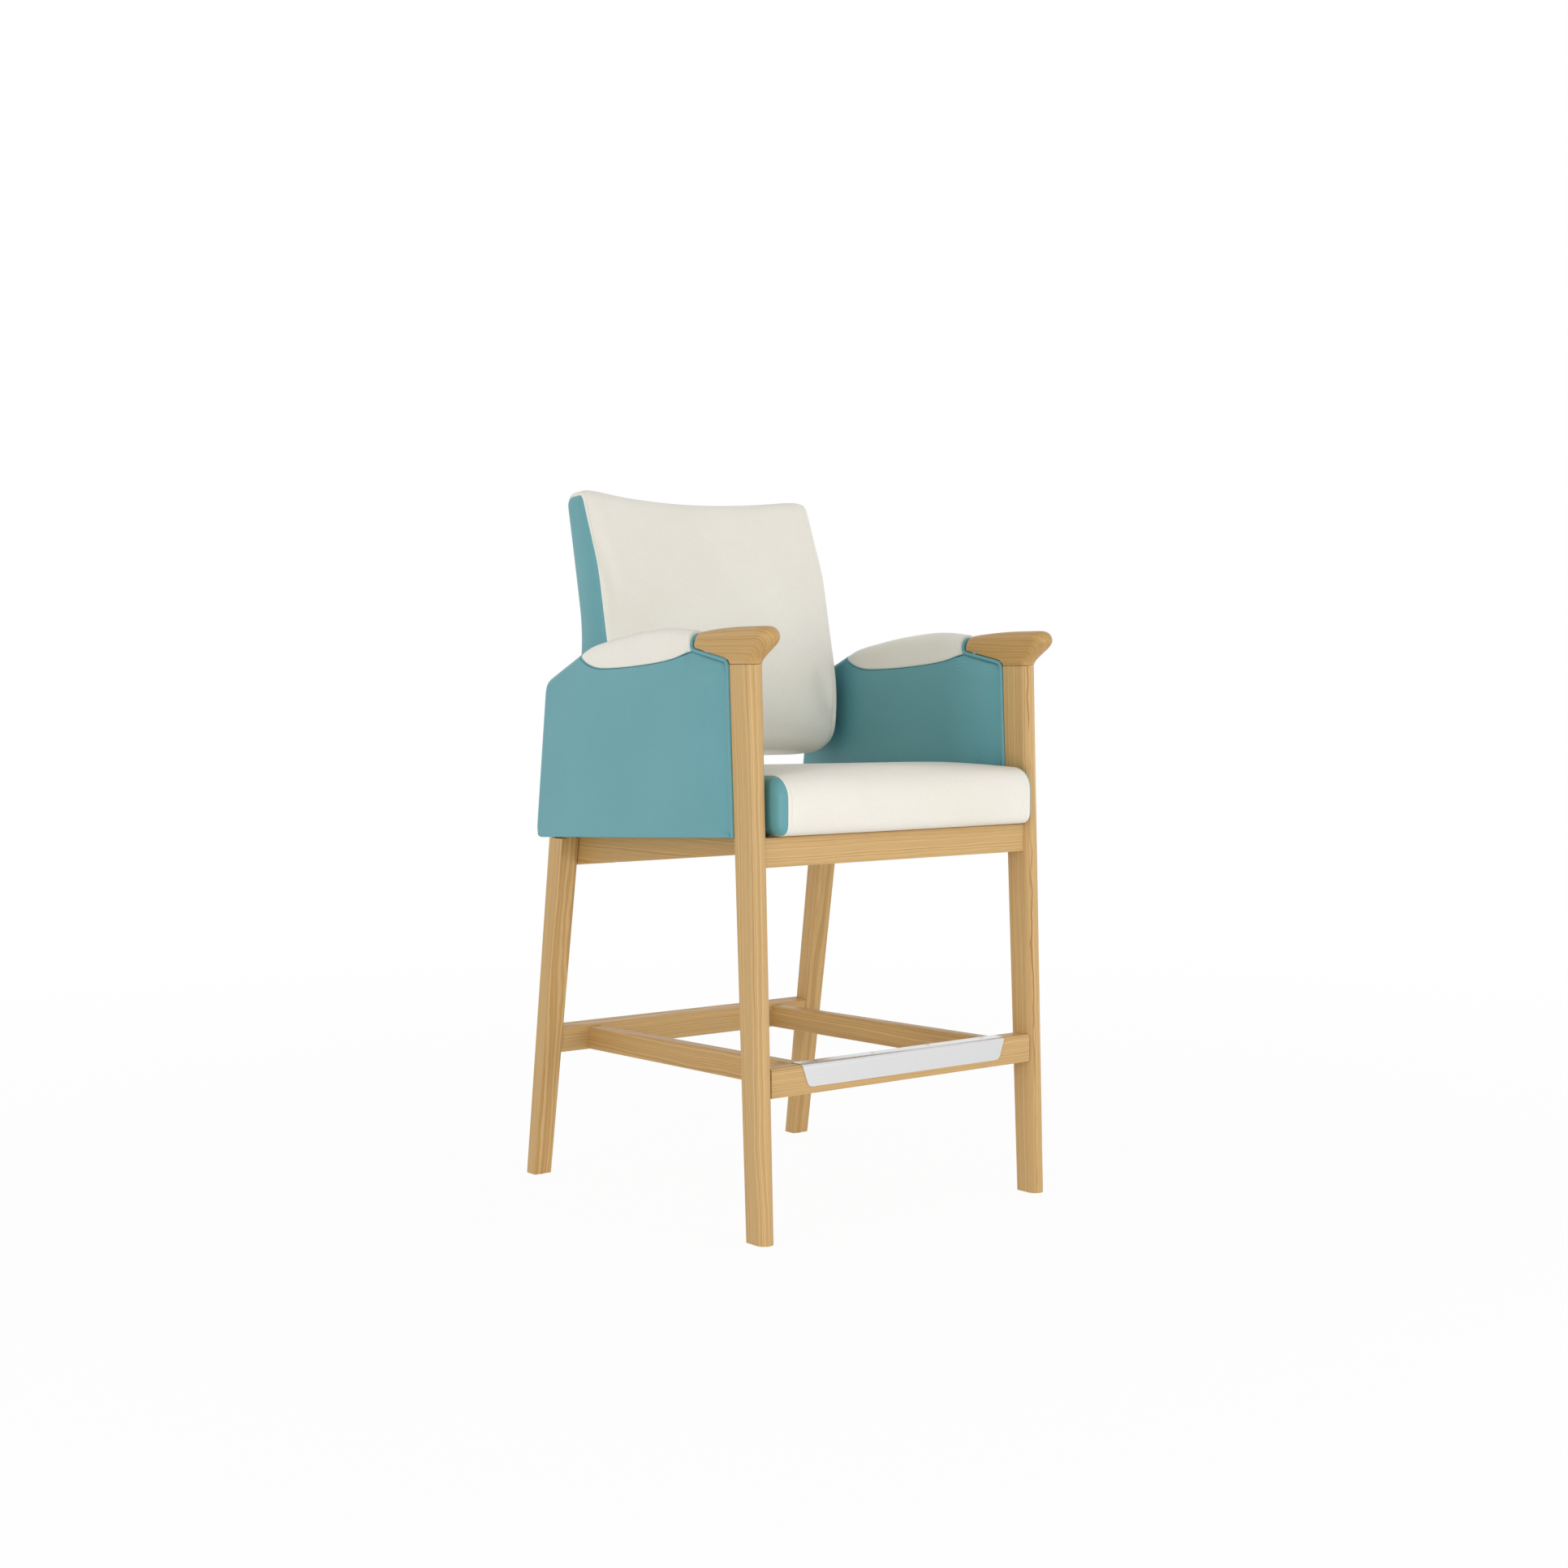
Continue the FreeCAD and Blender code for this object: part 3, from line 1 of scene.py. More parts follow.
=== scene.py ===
"""Looks of a bar-height waiting room armchair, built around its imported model.

Metres. +Z is up, the chair faces -Y and the origin is on the floor under its middle.
"""
import math

import bpy
import numpy as np
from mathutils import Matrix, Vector


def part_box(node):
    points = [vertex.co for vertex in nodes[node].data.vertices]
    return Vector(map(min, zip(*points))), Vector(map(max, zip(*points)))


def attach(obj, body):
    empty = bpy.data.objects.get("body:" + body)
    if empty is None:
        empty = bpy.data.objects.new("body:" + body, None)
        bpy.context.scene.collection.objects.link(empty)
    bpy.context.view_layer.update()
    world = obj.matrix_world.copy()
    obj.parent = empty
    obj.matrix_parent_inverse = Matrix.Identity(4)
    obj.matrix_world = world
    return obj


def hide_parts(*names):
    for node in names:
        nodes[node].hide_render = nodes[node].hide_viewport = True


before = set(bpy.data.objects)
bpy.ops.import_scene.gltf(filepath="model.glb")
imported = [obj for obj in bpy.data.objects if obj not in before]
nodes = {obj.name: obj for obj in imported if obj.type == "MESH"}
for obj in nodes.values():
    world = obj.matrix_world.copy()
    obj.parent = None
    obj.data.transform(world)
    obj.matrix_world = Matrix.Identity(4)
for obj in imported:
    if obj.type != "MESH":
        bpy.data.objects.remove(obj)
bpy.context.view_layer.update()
scene = bpy.context.scene
BODY = "root"
SIDES = (("left", -1.0), ("right", 1.0))
QUARTER = math.pi / 2

# Seat cushion
SEAT_HALF = 0.270
SEAT_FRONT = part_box("seat_cover")[0].y
SEAT_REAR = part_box("seat_cover")[1].y
SEAT_LOW = 0.6578
SEAT_HIGH = 0.768
SEAT_CROWN = 0.010
SEAT_DROP = 0.024
SEAT_FRONT_BULGE = 0.004
SEAT_SIDE_BULGE = 0.012
SEAT_SIDE_ROUND = 0.024
SEAT_NOSE_ROUND = 0.038
SEAT_FOOT_ROUND = 0.018
SEAT_REAR_ROUND = 0.016
SEAT_HELD = 0.002
# Corners at which the four sides of a section meet, and the steps along each side
SEAT_SPLITS = (0, 1, 2, 3)
SEAT_COUNTS = (64, 12, 64, 12)

# Back cushion
BACK_LOW = 0.766
BACK_HEIGHT = 0.496
BACK_HALF = 0.260
BACK_REAR = 0.2608
BACK_LEAN = 0.048
BACK_FOOT_OUT = 0.019
BACK_FOOT_RISE = 0.004
BACK_CONCAVE = 0.028
BACK_DIP = 0.019
BACK_WAIST = 0.235
BACK_LUMBAR = 0.125
BACK_SHOULDER = 0.346
BACK_THICK_FOOT = 0.091
BACK_THICK_LUMBAR = 0.0985
BACK_THICK_SHOULDER = 0.0735
BACK_THICK_TOP = 0.049
BACK_LOW_CORNER = (0.027, 0.025)
BACK_TOP_CORNER = (0.052, 0.018)
BACK_TOP_SLOPE = 0.004
BACK_BEND_ROUND = 0.3
BACK_FOOT_ROUND = 0.040
BACK_HEM_ROUND = 0.005
BACK_TOP_ROUND = 0.0135
BACK_SIDE_BULGE = 0.004
BACK_SIDE_ROUND = 0.016
BACK_SPLITS = (0, 1, 3, 4)
BACK_COUNTS = (12, 54, 12, 54)

# How full the padded pieces are
FILL = 0.9

# Seams of both cushions: how far in from the side seam the rings lie, and how deep some are drawn in
SEAM_RINGS = (0.0, 0.0012, 0.0028, 0.0052, 0.0072, 0.0080, 0.0088, 0.0110, 0.016, 0.022)
SEAM_DEPTHS = {0: 0.0013, 1: 0.0004, 5: 0.0013}
RING_STEP = 0.009

# Front legs, on which the arms stand
leg_low, leg_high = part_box("front_leg_right")
LEG_INNER = leg_low.x
LEG_OUTER = leg_high.x
LEG_X = (LEG_INNER + LEG_OUTER) / 2
LEG_FOOT_Z = leg_low.z
LEG_FOOT_FRONT = leg_low.y
LEG_FOOT_REAR = -0.3033
LEG_TOP_FRONT = -0.3178
LEG_TOP_REAR = leg_high.y
LEG_ROUND = 0.0145
LEG_EASE = 0.0025
JOINT_Z = leg_high.z

# Lean of the rear legs
REAR_LEG_RUN = -0.0915
REAR_LEG_RISE = 0.624

# Arm panels
ARM_X = 0.305
ARM_HALF = 0.020
PANEL_LOW_FRONT = 0.654
PANEL_LOW_REAR = 0.6232
PANEL_REAR_LOW = 0.3226
PANEL_REAR_HIGH = 0.2866
PANEL_REAR_TOP = 0.9055
PANEL_BEND_RISE = 0.003
ROUND_FOOT = 0.018
ROUND_REAR = 0.026
ROUND_BEND = 0.015
# How far in from the outline each edge of an arm starts to roll, and how deep it rolls
EDGE_BOTTOM = (0.0032, 0.0032)
EDGE_REAR = (0.012, 0.010)
EDGE_CROWN = (0.0192, 0.0192)
EDGE_HEEL = (0.013, 0.011)
EDGE_FRONT = (0.040, 0.0095)
ROLL_BLEND = 4.0
ROLL_PASSES = 12
FACE_SWELL = 0.0012
SWELL_RUN = 0.06

# Arm pads
PAD_FRONT = -0.156
PAD_LENGTH = 0.321
PAD_HEIGHT = 0.062
PAD_HEEL_Z = 0.957
PAD_HEEL_CROWN = 0.92
PAD_TURN = (0.161, 0.9462)
PAD_BEND = (0.1672, 0.9515)
PAD_TIP = (0.169, 0.9558)
# Share along the pad, then the heights of its seam and crown as shares of its height
PAD_STATIONS = (
    (0.13, 0.18, 0.99),
    (0.3, 0.06, 1.0),
    (0.56, -0.04, 0.88),
    (0.8, -0.07, 0.69),
    (0.92, 0.03, 0.55),
)
PAD_ROWS = np.array([0.0, 0.035, 0.10, 0.2, 0.32, 0.44, 0.56, 0.67, 0.77, 0.86, 0.93, 0.975, 1.0])

# Rows of the panel near its borders, as distances, and the panel's rough height and length,
# which turn these into shares
FOOT_ROWS = (0.0012, 0.003, 0.0055, 0.0085, 0.0125, 0.018)
LIP_ROWS = (0.0010, 0.0022, 0.0034, 0.0046, 0.0058, 0.0070, 0.0100, 0.0150)
FRONT_COLUMNS = (0.0015, 0.0036, 0.0064, 0.0098, 0.014, 0.0195)
TAIL_COLUMNS = (0.006,)
PANEL_UP = 0.40
PANEL_UP_STEPS = 40
PANEL_ALONG = 0.33
PANEL_ALONG_STEPS = 46

# The rolled lip along the pad's seam and the groove below it
SEAM_DEPTH = 0.0013
LIP_RISE = 0.0005
GROOVE_ROW = 4
GROOVE_DEPTH = 0.0042

# Creases: the place they run out from, their reach and height, and how many there are round it
CREASE_START = 0.3
CREASES = (
    ((PAD_FRONT + 0.004, PAD_HEEL_Z - 0.010), 0.022, 0.0018, 11.0),
    ((LEG_TOP_REAR + 0.024, JOINT_Z - 0.014), 0.022, 0.0017, 9.0),
)

# Welts
WELT_RADIUS = 0.0037
WELT_GAP = 0.0063
WELT_LOW_TURN = 0.0055
WELT_HIGH_TURN = 0.0022
WELT_LOW_ROUND = 0.013
WELT_HIGH_ROUND = 0.008
WELT_DROP = 0.008
WELT_ARCH = (LEG_OUTER - LEG_INNER) / 2
WELT_ARCH_STEPS = 14
WELT_RISE_STEPS = 110
WELT_SIDES = 12

# Stitches along the groove
STITCH_LENGTH = 0.0034
STITCH_GAP = 0.0014
STITCH_BOW = 0.0006
STITCH_STEPS = 4
THREAD_RADIUS = 0.0004
THREAD_SIDES = 6

# Arm caps
CAP_HEIGHT = 0.061
CAP_BROAD = 0.74
CAP_WIDTH = 0.046
CAP_FRONT = 0.042
CAP_REAR = 0.0975
CAP_WELT_GAP = 0.0001
CAP_TOP_ROUND = 0.0175
CAP_TOP_FLAT = 0.0205
CAP_TOP_RISE = 0.008
CAP_CHAMFER = 0.0013
CAP_NECK = 0.018
CAP_END_SHARE = 0.94
CAP_DROOP = 0.0085
CAP_DROOP_START = -0.30
CAP_DROOP_RUN = 0.14
CAP_DROOP_MOST = 1.2
CAP_DROOP_LOW = 0.45
CAP_DROOP_RISE = 0.45
CAP_FLARE_START = 0.05
CAP_FLARE_RINGS = 30
CAP_TOP_RINGS = 14
CAP_SPLITS = (0, 1, 2, 3)
CAP_COUNTS = (14, 40, 14, 40)

# Camera and light
CAMERA_PLACE = (-2.4909, -3.1514, 0.9088)
CAMERA_DIP = 2.651
CAMERA_TURN = -38.32
LENS_MM = 51.436
SENSOR_MM = 36.0
HORIZON_LIGHT = 1.20
ZENITH_LIGHT = 0.41
FLOOR_REACH = 40.0
SHADOW_REACH = 4.0
SHADOW_START = 0.25
FLOOR_GLOW = 0.95
LAMP_AIM = (0.0, 0.0, 0.75)
# Place of each lamp, its width and its power in watts
LAMPS = {
    "left": ((-4.2, -1.3, 0.72), 0.9, 24.0),
    "low_front": ((0.5, -3.3, 0.45), 1.2, 23.0),
}


def smooth(share):
    """Ease from nothing to one, level at both ends."""
    share = np.clip(share, 0.0, 1.0)
    return share * share * (3.0 - 2.0 * share)


# Flat outlines


def corner_arc(before, corner, after, radius, count=16):
    """Points on the arc that rounds a corner, from its first tangent point to its last."""
    back = (before - corner) / np.linalg.norm(before - corner)
    ahead = (after - corner) / np.linalg.norm(after - corner)
    half = math.acos(float(np.clip(back @ ahead, -1.0, 1.0))) / 2
    bisector = (back + ahead) / np.linalg.norm(back + ahead)
    centre = corner + bisector * (radius / math.sin(half))
    first = corner + back * (radius / math.tan(half)) - centre
    last = corner + ahead * (radius / math.tan(half)) - centre
    sweep = math.atan2(first[0] * last[1] - first[1] * last[0], first @ last)
    points = []
    for angle in np.linspace(0.0, sweep, count + 1):
        turn = np.array([[math.cos(angle), -math.sin(angle)], [math.sin(angle), math.cos(angle)]])
        points.append(centre + turn @ first)
    return points


def shares(line):
    """Each point's share of a polyline's length."""
    steps = np.linalg.norm(np.diff(np.asarray(line, float), axis=0), axis=1)
    run = np.concatenate([[0.0], np.cumsum(steps)])
    return run / run[-1]


def at_shares(line, wanted):
    """Points of a polyline at the given shares of its length."""
    line = np.asarray(line, float)
    run = shares(line)
    return np.stack([np.interp(wanted, run, line[:, axis]) for axis in range(line.shape[1])], axis=1)


def resample(points, count):
    """A polyline's points at equal steps along it, both ends kept."""
    return at_shares(points, np.linspace(0.0, 1.0, count + 1))


def edge_steps(low, high, length, count):
    """Shares of a length with small steps at both ends."""
    low = np.array(low) / length
    high = 1.0 - np.array(high)[::-1] / length
    middle = np.linspace(low[-1], high[0], count + 1)[1:-1]
    return np.concatenate([[0.0], low, middle, high, [1.0]])


def smooth_line(points, steps=10):
    """A curve that passes through all the points."""
    points = np.asarray(points, float)
    first = 2 * points[0] - points[1]
    last = 2 * points[-1] - points[-2]
    through = np.vstack([first, points, last])
    line = []
    for k in range(1, len(through) - 2):
        a, b, c, d = through[k - 1:k + 3]
        for t in np.linspace(0.0, 1.0, steps, endpoint=False):
            square = (2 * a - 5 * b + 4 * c - d) * t ** 2
            cube = (3 * b - a - 3 * c + d) * t ** 3
            line.append(0.5 * (2 * b + (c - a) * t + square + cube))
    line.append(points[-1])
    return np.array(line)


def rounded_sides(corners, splits, counts):
    """A rounded polygon as four sides, cut in the middle of four of its corner arcs and resampled."""
    spots = [np.array(corner[:2], float) for corner in corners]
    total = len(spots)
    arcs = []
    for index in range(total):
        before = spots[index - 1]
        after = spots[(index + 1) % total]
        arcs.append(corner_arc(before, spots[index], after, corners[index][2]))
    sides = []
    for rank, start in enumerate(splits):
        end = splits[(rank + 1) % len(splits)]
        half = len(arcs[start]) // 2
        line = list(arcs[start][half:])
        index = (start + 1) % total
        while index != end:
            line.extend(arcs[index])
            index = (index + 1) % total
        line.extend(arcs[end][:half + 1])
        sides.append(resample(line, counts[rank]))
    return sides


def sides_to_loop(sides):
    """Sides that follow on each other as one closed outline, without the doubled corners."""
    return np.concatenate([side[:-1] for side in sides])


def coons(sides, u, v):
    """Fill four sides (bottom, rear, top, front, head to tail) with a grid of u by v points."""
    bottom, rear, top, front = sides[0], sides[1], sides[2][::-1], sides[3][::-1]
    u = u[:, None, None]
    v = v[None, :, None]
    grid = (1 - v) * bottom[:, None] + v * top[:, None] + (1 - u) * front[None] + u * rear[None]
    grid -= (1 - u) * (1 - v) * bottom[0] + u * (1 - v) * bottom[-1]
    grid -= (1 - u) * v * top[0] + u * v * top[-1]
    return grid


def distance_to(points, line, values=None):
    """Distance of flat points to a polyline, and the polyline's values at the nearest place."""
    flat = points.reshape(-1, 2)
    start, end = line[:-1], line[1:]
    run = end - start
    length = np.maximum((run * run).sum(1), 1e-18)
    place = np.clip(((flat[:, None] - start[None]) * run[None]).sum(2) / length[None], 0.0, 1.0)
    gap = np.linalg.norm(flat[:, None] - (start[None] + place[..., None] * run[None]), axis=2)
    nearest = gap.argmin(1)
    rows = np.arange(len(flat))
    reach = gap[rows, nearest].reshape(points.shape[:-1])
    if values is None:
        return reach
    share = place[rows, nearest, None]
    found = values[:-1][nearest] * (1 - share) + values[1:][nearest] * share
    return reach, found.reshape(points.shape[:-1] + values.shape[1:])


# Meshes


class Builder:
    """Collects vertices and faces, with one material number per face."""

    def __init__(self):
        self.points = []
        self.faces = []
        self.kinds = []

    def add(self, points):
        first = len(self.points)
        self.points.extend(np.asarray(points, float).reshape(-1, 3))
        return np.arange(first, len(self.points))

    def face(self, corners, kind=0):
        self.faces.append([int(n) for n in corners])
        self.kinds.append(kind)

    def grid(self, index, kind=0, flip=False, wrap=False):
        rows, columns = index.shape
        last = columns if wrap else columns - 1
        for i in range(rows - 1):
            for j in range(last):
                k = (j + 1) % columns
                corners = [index[i, j], index[i + 1, j], index[i + 1, k], index[i, k]]
                corners = list(dict.fromkeys(corners))
                if len(corners) > 2:
                    self.face(corners[::-1] if flip else corners, kind)


def make_object(name, points, faces, material, levels=1):
    """A smooth object of one material, subdivided so many times."""
    mesh = bpy.data.meshes.new(name)
    mesh.from_pydata([tuple(point) for point in points], [], [list(face) for face in faces])
    mesh.validate()
    mesh.polygons.foreach_set("use_smooth", [True] * len(mesh.polygons))
    obj = bpy.data.objects.new(name, mesh)
    scene.collection.objects.link(obj)
    obj.data.materials.append(material)
    if levels:
        modifier = obj.modifiers.new("subdivision", "SUBSURF")
        modifier.levels = levels
        modifier.render_levels = levels
    return obj


def part_of(points, faces, kinds, kind):
    """The vertices and faces of one material number, renumbered."""
    chosen = [face for face, number in zip(faces, kinds) if number == kind]
    used = sorted({n for face in chosen for n in face})
    order = {old: new for new, old in enumerate(used)}
    return np.asarray(points)[used], [[order[n] for n in face] for face in chosen]


def vertex_normals(points, faces):
    """Outward way of each vertex, weighted by the size of its faces."""
    normals = np.zeros_like(points)
    for face in faces:
        corner = points[face]
        normals[face] += np.cross(corner, np.roll(corner, -1, axis=0)).sum(0)
    length = np.linalg.norm(normals, axis=1, keepdims=True)
    return normals / np.maximum(length, 1e-12)


def tube(made, points, radius, sides, beside):
    """A closed round cord along a polyline, added to a builder."""
    points = np.asarray(points, float)
    ahead = np.gradient(points, axis=0)
    ahead /= np.linalg.norm(ahead, axis=1, keepdims=True)
    angles = np.linspace(0.0, 2 * math.pi, sides + 1)[:-1]
    rings = []
    for place, way in zip(points, ahead):
        beside = beside - way * (beside @ way)
        beside = beside / np.linalg.norm(beside)
        across = np.cross(way, beside)
        ring = [place + radius * (math.cos(a) * beside + math.sin(a) * across) for a in angles]
        rings.append(made.add(ring))
    made.grid(np.array(rings), 0, wrap=True)
    made.face(rings[0][::-1])
    made.face(rings[-1])


def inflate(points, faces, pinned, pressure, most, frames=20):
    """Movement of each vertex when air is blown into a sewn cover, limited to the most."""
    mesh = bpy.data.meshes.new("cloth")
    mesh.from_pydata([tuple(point) for point in points], [], faces)
    obj = bpy.data.objects.new("cloth", mesh)
    scene.collection.objects.link(obj)
    group = obj.vertex_groups.new(name="sewn")
    group.add([int(n) for n in np.flatnonzero(pinned)], 1.0, "REPLACE")
    modifier = obj.modifiers.new("cloth", "CLOTH")
    cloth = modifier.settings
    cloth.quality = 6
    cloth.mass = 0.3
    cloth.tension_stiffness = 30.0
    cloth.compression_stiffness = 30.0
    cloth.shear_stiffness = 15.0
    cloth.bending_stiffness = 4.0
    cloth.vertex_group_mass = "sewn"
    cloth.use_pressure = True
    cloth.uniform_pressure_force = pressure
    cloth.effector_weights.gravity = 0.0
    modifier.collision_settings.use_collision = False
    modifier.point_cache.frame_start = 1
    modifier.point_cache.frame_end = frames
    for number in range(1, frames + 1):
        scene.frame_set(number)
    shown = obj.evaluated_get(bpy.context.evaluated_depsgraph_get())
    moved = np.zeros(points.size)
    shown.data.vertices.foreach_get("co", moved)
    scene.frame_set(1)
    bpy.data.objects.remove(obj)
    bpy.data.meshes.remove(mesh)
    movement = moved.reshape(-1, 3) - points
    length = np.linalg.norm(movement, axis=1, keepdims=True)
    return movement * np.minimum(1.0, most / np.maximum(length, 1e-9))


def finish_piece(obj, replaced):
    """Hang a piece on the chair's body and hide the solids that it replaces."""
    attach(obj, BODY)
    if replaced:
        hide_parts(*replaced)


# Materials


def srgb(red, green, blue):
    """A colour given in screen levels as the linear one that materials take."""
    def linear(value):
        value /= 255.0
        return value / 12.92 if value <= 0.04045 else ((value + 0.055) / 1.055) ** 2.4
    return (linear(red), linear(green), linear(blue), 1.0)


class Shader:
    """A material's node tree with short ways to add and join nodes."""

    def __init__(self, name):
        self.material = bpy.data.materials.new(name)
        self.material.use_nodes = True
        self.tree = self.material.node_tree
        self.main = self.tree.nodes["Principled BSDF"]
        self.place = self.node("ShaderNodeTexCoord").outputs["Object"]

    def node(self, kind, **settings):
        node = self.tree.nodes.new(kind)
        for key, value in settings.items():
            setattr(node, key, value)
        return node

    def link(self, start, end):
        self.tree.links.new(start, end)

    def put(self, socket, value):
        if isinstance(value, bpy.types.NodeSocket):
            self.link(value, socket)
        else:
            socket.default_value = value

    def set(self, **values):
        for key, value in values.items():
            self.put(self.main.inputs[key.replace("_", " ")], value)

    def math(self, operation, first, second=0.0):
        node = self.node("ShaderNodeMath", operation=operation)
        self.put(node.inputs[0], first)
        self.put(node.inputs[1], second)
        return node.outputs[0]

    def moved(self, vector, location=(0, 0, 0), rotation=(0, 0, 0), scale=(1, 1, 1)):
        node = self.node("ShaderNodeMapping")
        self.put(node.inputs["Vector"], vector)
        node.inputs["Location"].default_value = location
        node.inputs["Rotation"].default_value = rotation
        node.inputs["Scale"].default_value = scale
        return node.outputs[0]

    def noise(self, vector, scale, detail=2.0, roughness=0.5):
        node = self.node("ShaderNodeTexNoise")
        self.put(node.inputs["Vector"], vector)
        node.inputs["Scale"].default_value = scale
        node.inputs["Detail"].default_value = detail
        node.inputs["Roughness"].default_value = roughness
        return node.outputs["Fac"]

    def noise_line(self, place, detail=3.0, roughness=0.55):
        node = self.node("ShaderNodeTexNoise", noise_dimensions="1D")
        self.put(node.inputs["W"], place)
        node.inputs["Scale"].default_value = 1.0
        node.inputs["Detail"].default_value = detail
        node.inputs["Roughness"].default_value = roughness
        return node.outputs["Fac"]

    def ramp(self, factor, *stops):
        node = self.node("ShaderNodeValToRGB")
        self.put(node.inputs["Fac"], factor)
        elements = node.color_ramp.elements
        while len(elements) < len(stops):
            elements.new(0.5)
        for element, (position, colour) in zip(elements, stops):
            element.position = position
            element.color = colour if isinstance(colour, tuple) else (colour, colour, colour, 1.0)
        return node.outputs["Color"]

    def mix(self, factor, first, second, blend="MIX"):
        node = self.node("ShaderNodeMix", data_type="RGBA", blend_type=blend)
        self.put(node.inputs["Factor"], factor)
        self.put(node.inputs["A"], first)
        self.put(node.inputs["B"], second)
        return node.outputs["Result"]

    def bump(self, height, strength, distance):
        node = self.node("ShaderNodeBump")
        self.put(node.inputs["Height"], height)
        node.inputs["Strength"].default_value = strength
        node.inputs["Distance"].default_value = distance
        return node.outputs[0]


def vinyl(name, light, dark):
    """Grained, satin upholstery vinyl."""
    shader = Shader(name)
    cells = shader.node("ShaderNodeTexVoronoi", feature="SMOOTH_F1")
    wide = shader.moved(shader.place, scale=(1.0, 1.0, 0.72), rotation=(0.35, 0.2, 0.5))
    shader.link(wide, cells.inputs["Vector"])
    cells.inputs["Scale"].default_value = 480.0
    creases = shader.noise(wide, 900.0, 3.0, 0.6)
    height = shader.math("ADD", cells.outputs["Distance"], shader.math("MULTIPLY", creases, 0.45))
    cloudy = shader.noise(shader.place, 7.0, 3.0)
    tone = shader.ramp(cloudy, (0.3, dark), (0.7, light))
    deep = shader.ramp(height, (0.25, 0.92), (0.75, 1.0))
    shader.set(Base_Color=shader.mix(0.6, tone, deep, "MULTIPLY"))
    worn = shader.noise(shader.place, 160.0)
    shader.set(Roughness=shader.ramp(worn, (0.3, 0.33), (0.7, 0.44)))
    shader.set(Normal=shader.bump(height, 0.22, 0.0006))
    shader.set(Specular_IOR_Level=0.42)
    return shader.material


ASH_DEEP = srgb(196, 155, 97)
ASH_MIDDLE = srgb(211, 174, 117)
ASH_PALE = srgb(225, 192, 138)
ASH_LATE = srgb(176, 126, 62)
ASH_STREAK = srgb(160, 104, 42)
STREAK_WAVER = 0.010


def with_streak(shader, tone, grain, streaks, place):
    """Add a thin brown line, broken here and there, that wavers about a place across the grain."""
    parts = shader.node("ShaderNodeSeparateXYZ")
    shader.link(grain, parts.inputs[0])
    waver = shader.noise_line(shader.math("MULTIPLY", parts.outputs["Z"], 13.0), 1.5)
    middle = shader.math("ADD", shader.math("MULTIPLY", waver, STREAK_WAVER), place - STREAK_WAVER / 2)
    gap = shader.math("ABSOLUTE", shader.math("SUBTRACT", parts.outputs["X"], middle))
    faded = shader.ramp(shader.math("MULTIPLY", gap, 500.0), (0.3, 0.8), (0.75, 0.0))
    broken = shader.ramp(streaks, (0.42, 0.0), (0.5, 1.0))
    return shader.mix(shader.math("MULTIPLY", faded, broken), tone, ASH_STREAK)


def ash(name, rotation, pith, rings=205.0, dark=1.0, figure=0.55, streak=None):
    """Straight-grained light ash under a thin satin finish.

    The rotation lays the grain along the piece, the pith is where the growth rings have their
    middle, with so many rings to a metre, dark darkens and warms the whole piece, which is painted
    shade on the pieces that sit in shadow, and figure is how strongly its rings show. The streak
    is the place of a thin brown line.
    """
    shader = Shader(name)
    grain = shader.moved(shader.place, rotation=rotation)
    wander = shader.noise(shader.moved(grain, scale=(9.0, 9.0, 2.2)), 1.0, 4.0, 0.5)
    flat = shader.moved(grain, location=pith, scale=(1.0, 1.0, 0.0))
    away = shader.node("ShaderNodeVectorMath", operation="LENGTH")
    shader.link(flat, away.inputs[0])
    ring = shader.math("ADD", away.outputs["Value"], shader.math("MULTIPLY", wander, 0.022))
    uneven = shader.math("MULTIPLY", shader.noise_line(shader.math("MULTIPLY", ring, 90.0), 2.0), 3.0)
    years = shader.math("ADD", shader.math("MULTIPLY", ring, rings), uneven)
    year = shader.math("FRACT", years)
    late = shader.ramp(year, (0.0, 0.0), (0.45, 0.06), (0.8, 0.6), (0.92, 1.0), (1.0, 0.1))
    bold = shader.noise_line(shader.math("MULTIPLY", ring, 55.0), 2.0)
    late = shader.math("MULTIPLY", late, shader.ramp(bold, (0.35, 0.25), (0.65, 1.0)))
    fine = shader.noise_line(shader.math("MULTIPLY", ring, 420.0), 3.0, 0.62)
    pores = shader.noise(shader.moved(grain, scale=(1400.0, 1400.0, 24.0)), 1.0, 2.0, 0.6)
    streaks = shader.noise(shader.moved(grain, scale=(60.0, 60.0, 1.6)), 1.0, 3.0, 0.6)
    tone = shader.ramp(fine, (0.25, ASH_DEEP), (0.5, ASH_MIDDLE), (0.75, ASH_PALE))
    tone = shader.mix(shader.math("MULTIPLY", late, figure), tone, ASH_LATE)
    tone = shader.mix(0.4, tone, shader.ramp(streaks, (0.3, 0.80), (0.62, 1.0)), "MULTIPLY")
    tone = shader.mix(0.4, tone, shader.ramp(pores, (0.32, 0.74), (0.5, 1.0)), "MULTIPLY")
    if streak is not None:
        tone = with_streak(shader, tone, grain, streaks, streak)
    # Painted shade: the whole piece is multiplied darker and warmer by dark
    shader.set(Base_Color=shader.mix(1.0, tone, (dark, dark ** 1.5, dark ** 2.6, 1.0), "MULTIPLY"))
    shader.set(Roughness=shader.ramp(streaks, (0.3, 0.46), (0.7, 0.36)))
    relief = shader.math("SUBTRACT", pores, shader.math("MULTIPLY", late, 0.4))
    shader.set(Normal=shader.bump(relief, 0.06, 0.0004))
    shader.set(Specular_IOR_Level=0.3)
    return shader.material


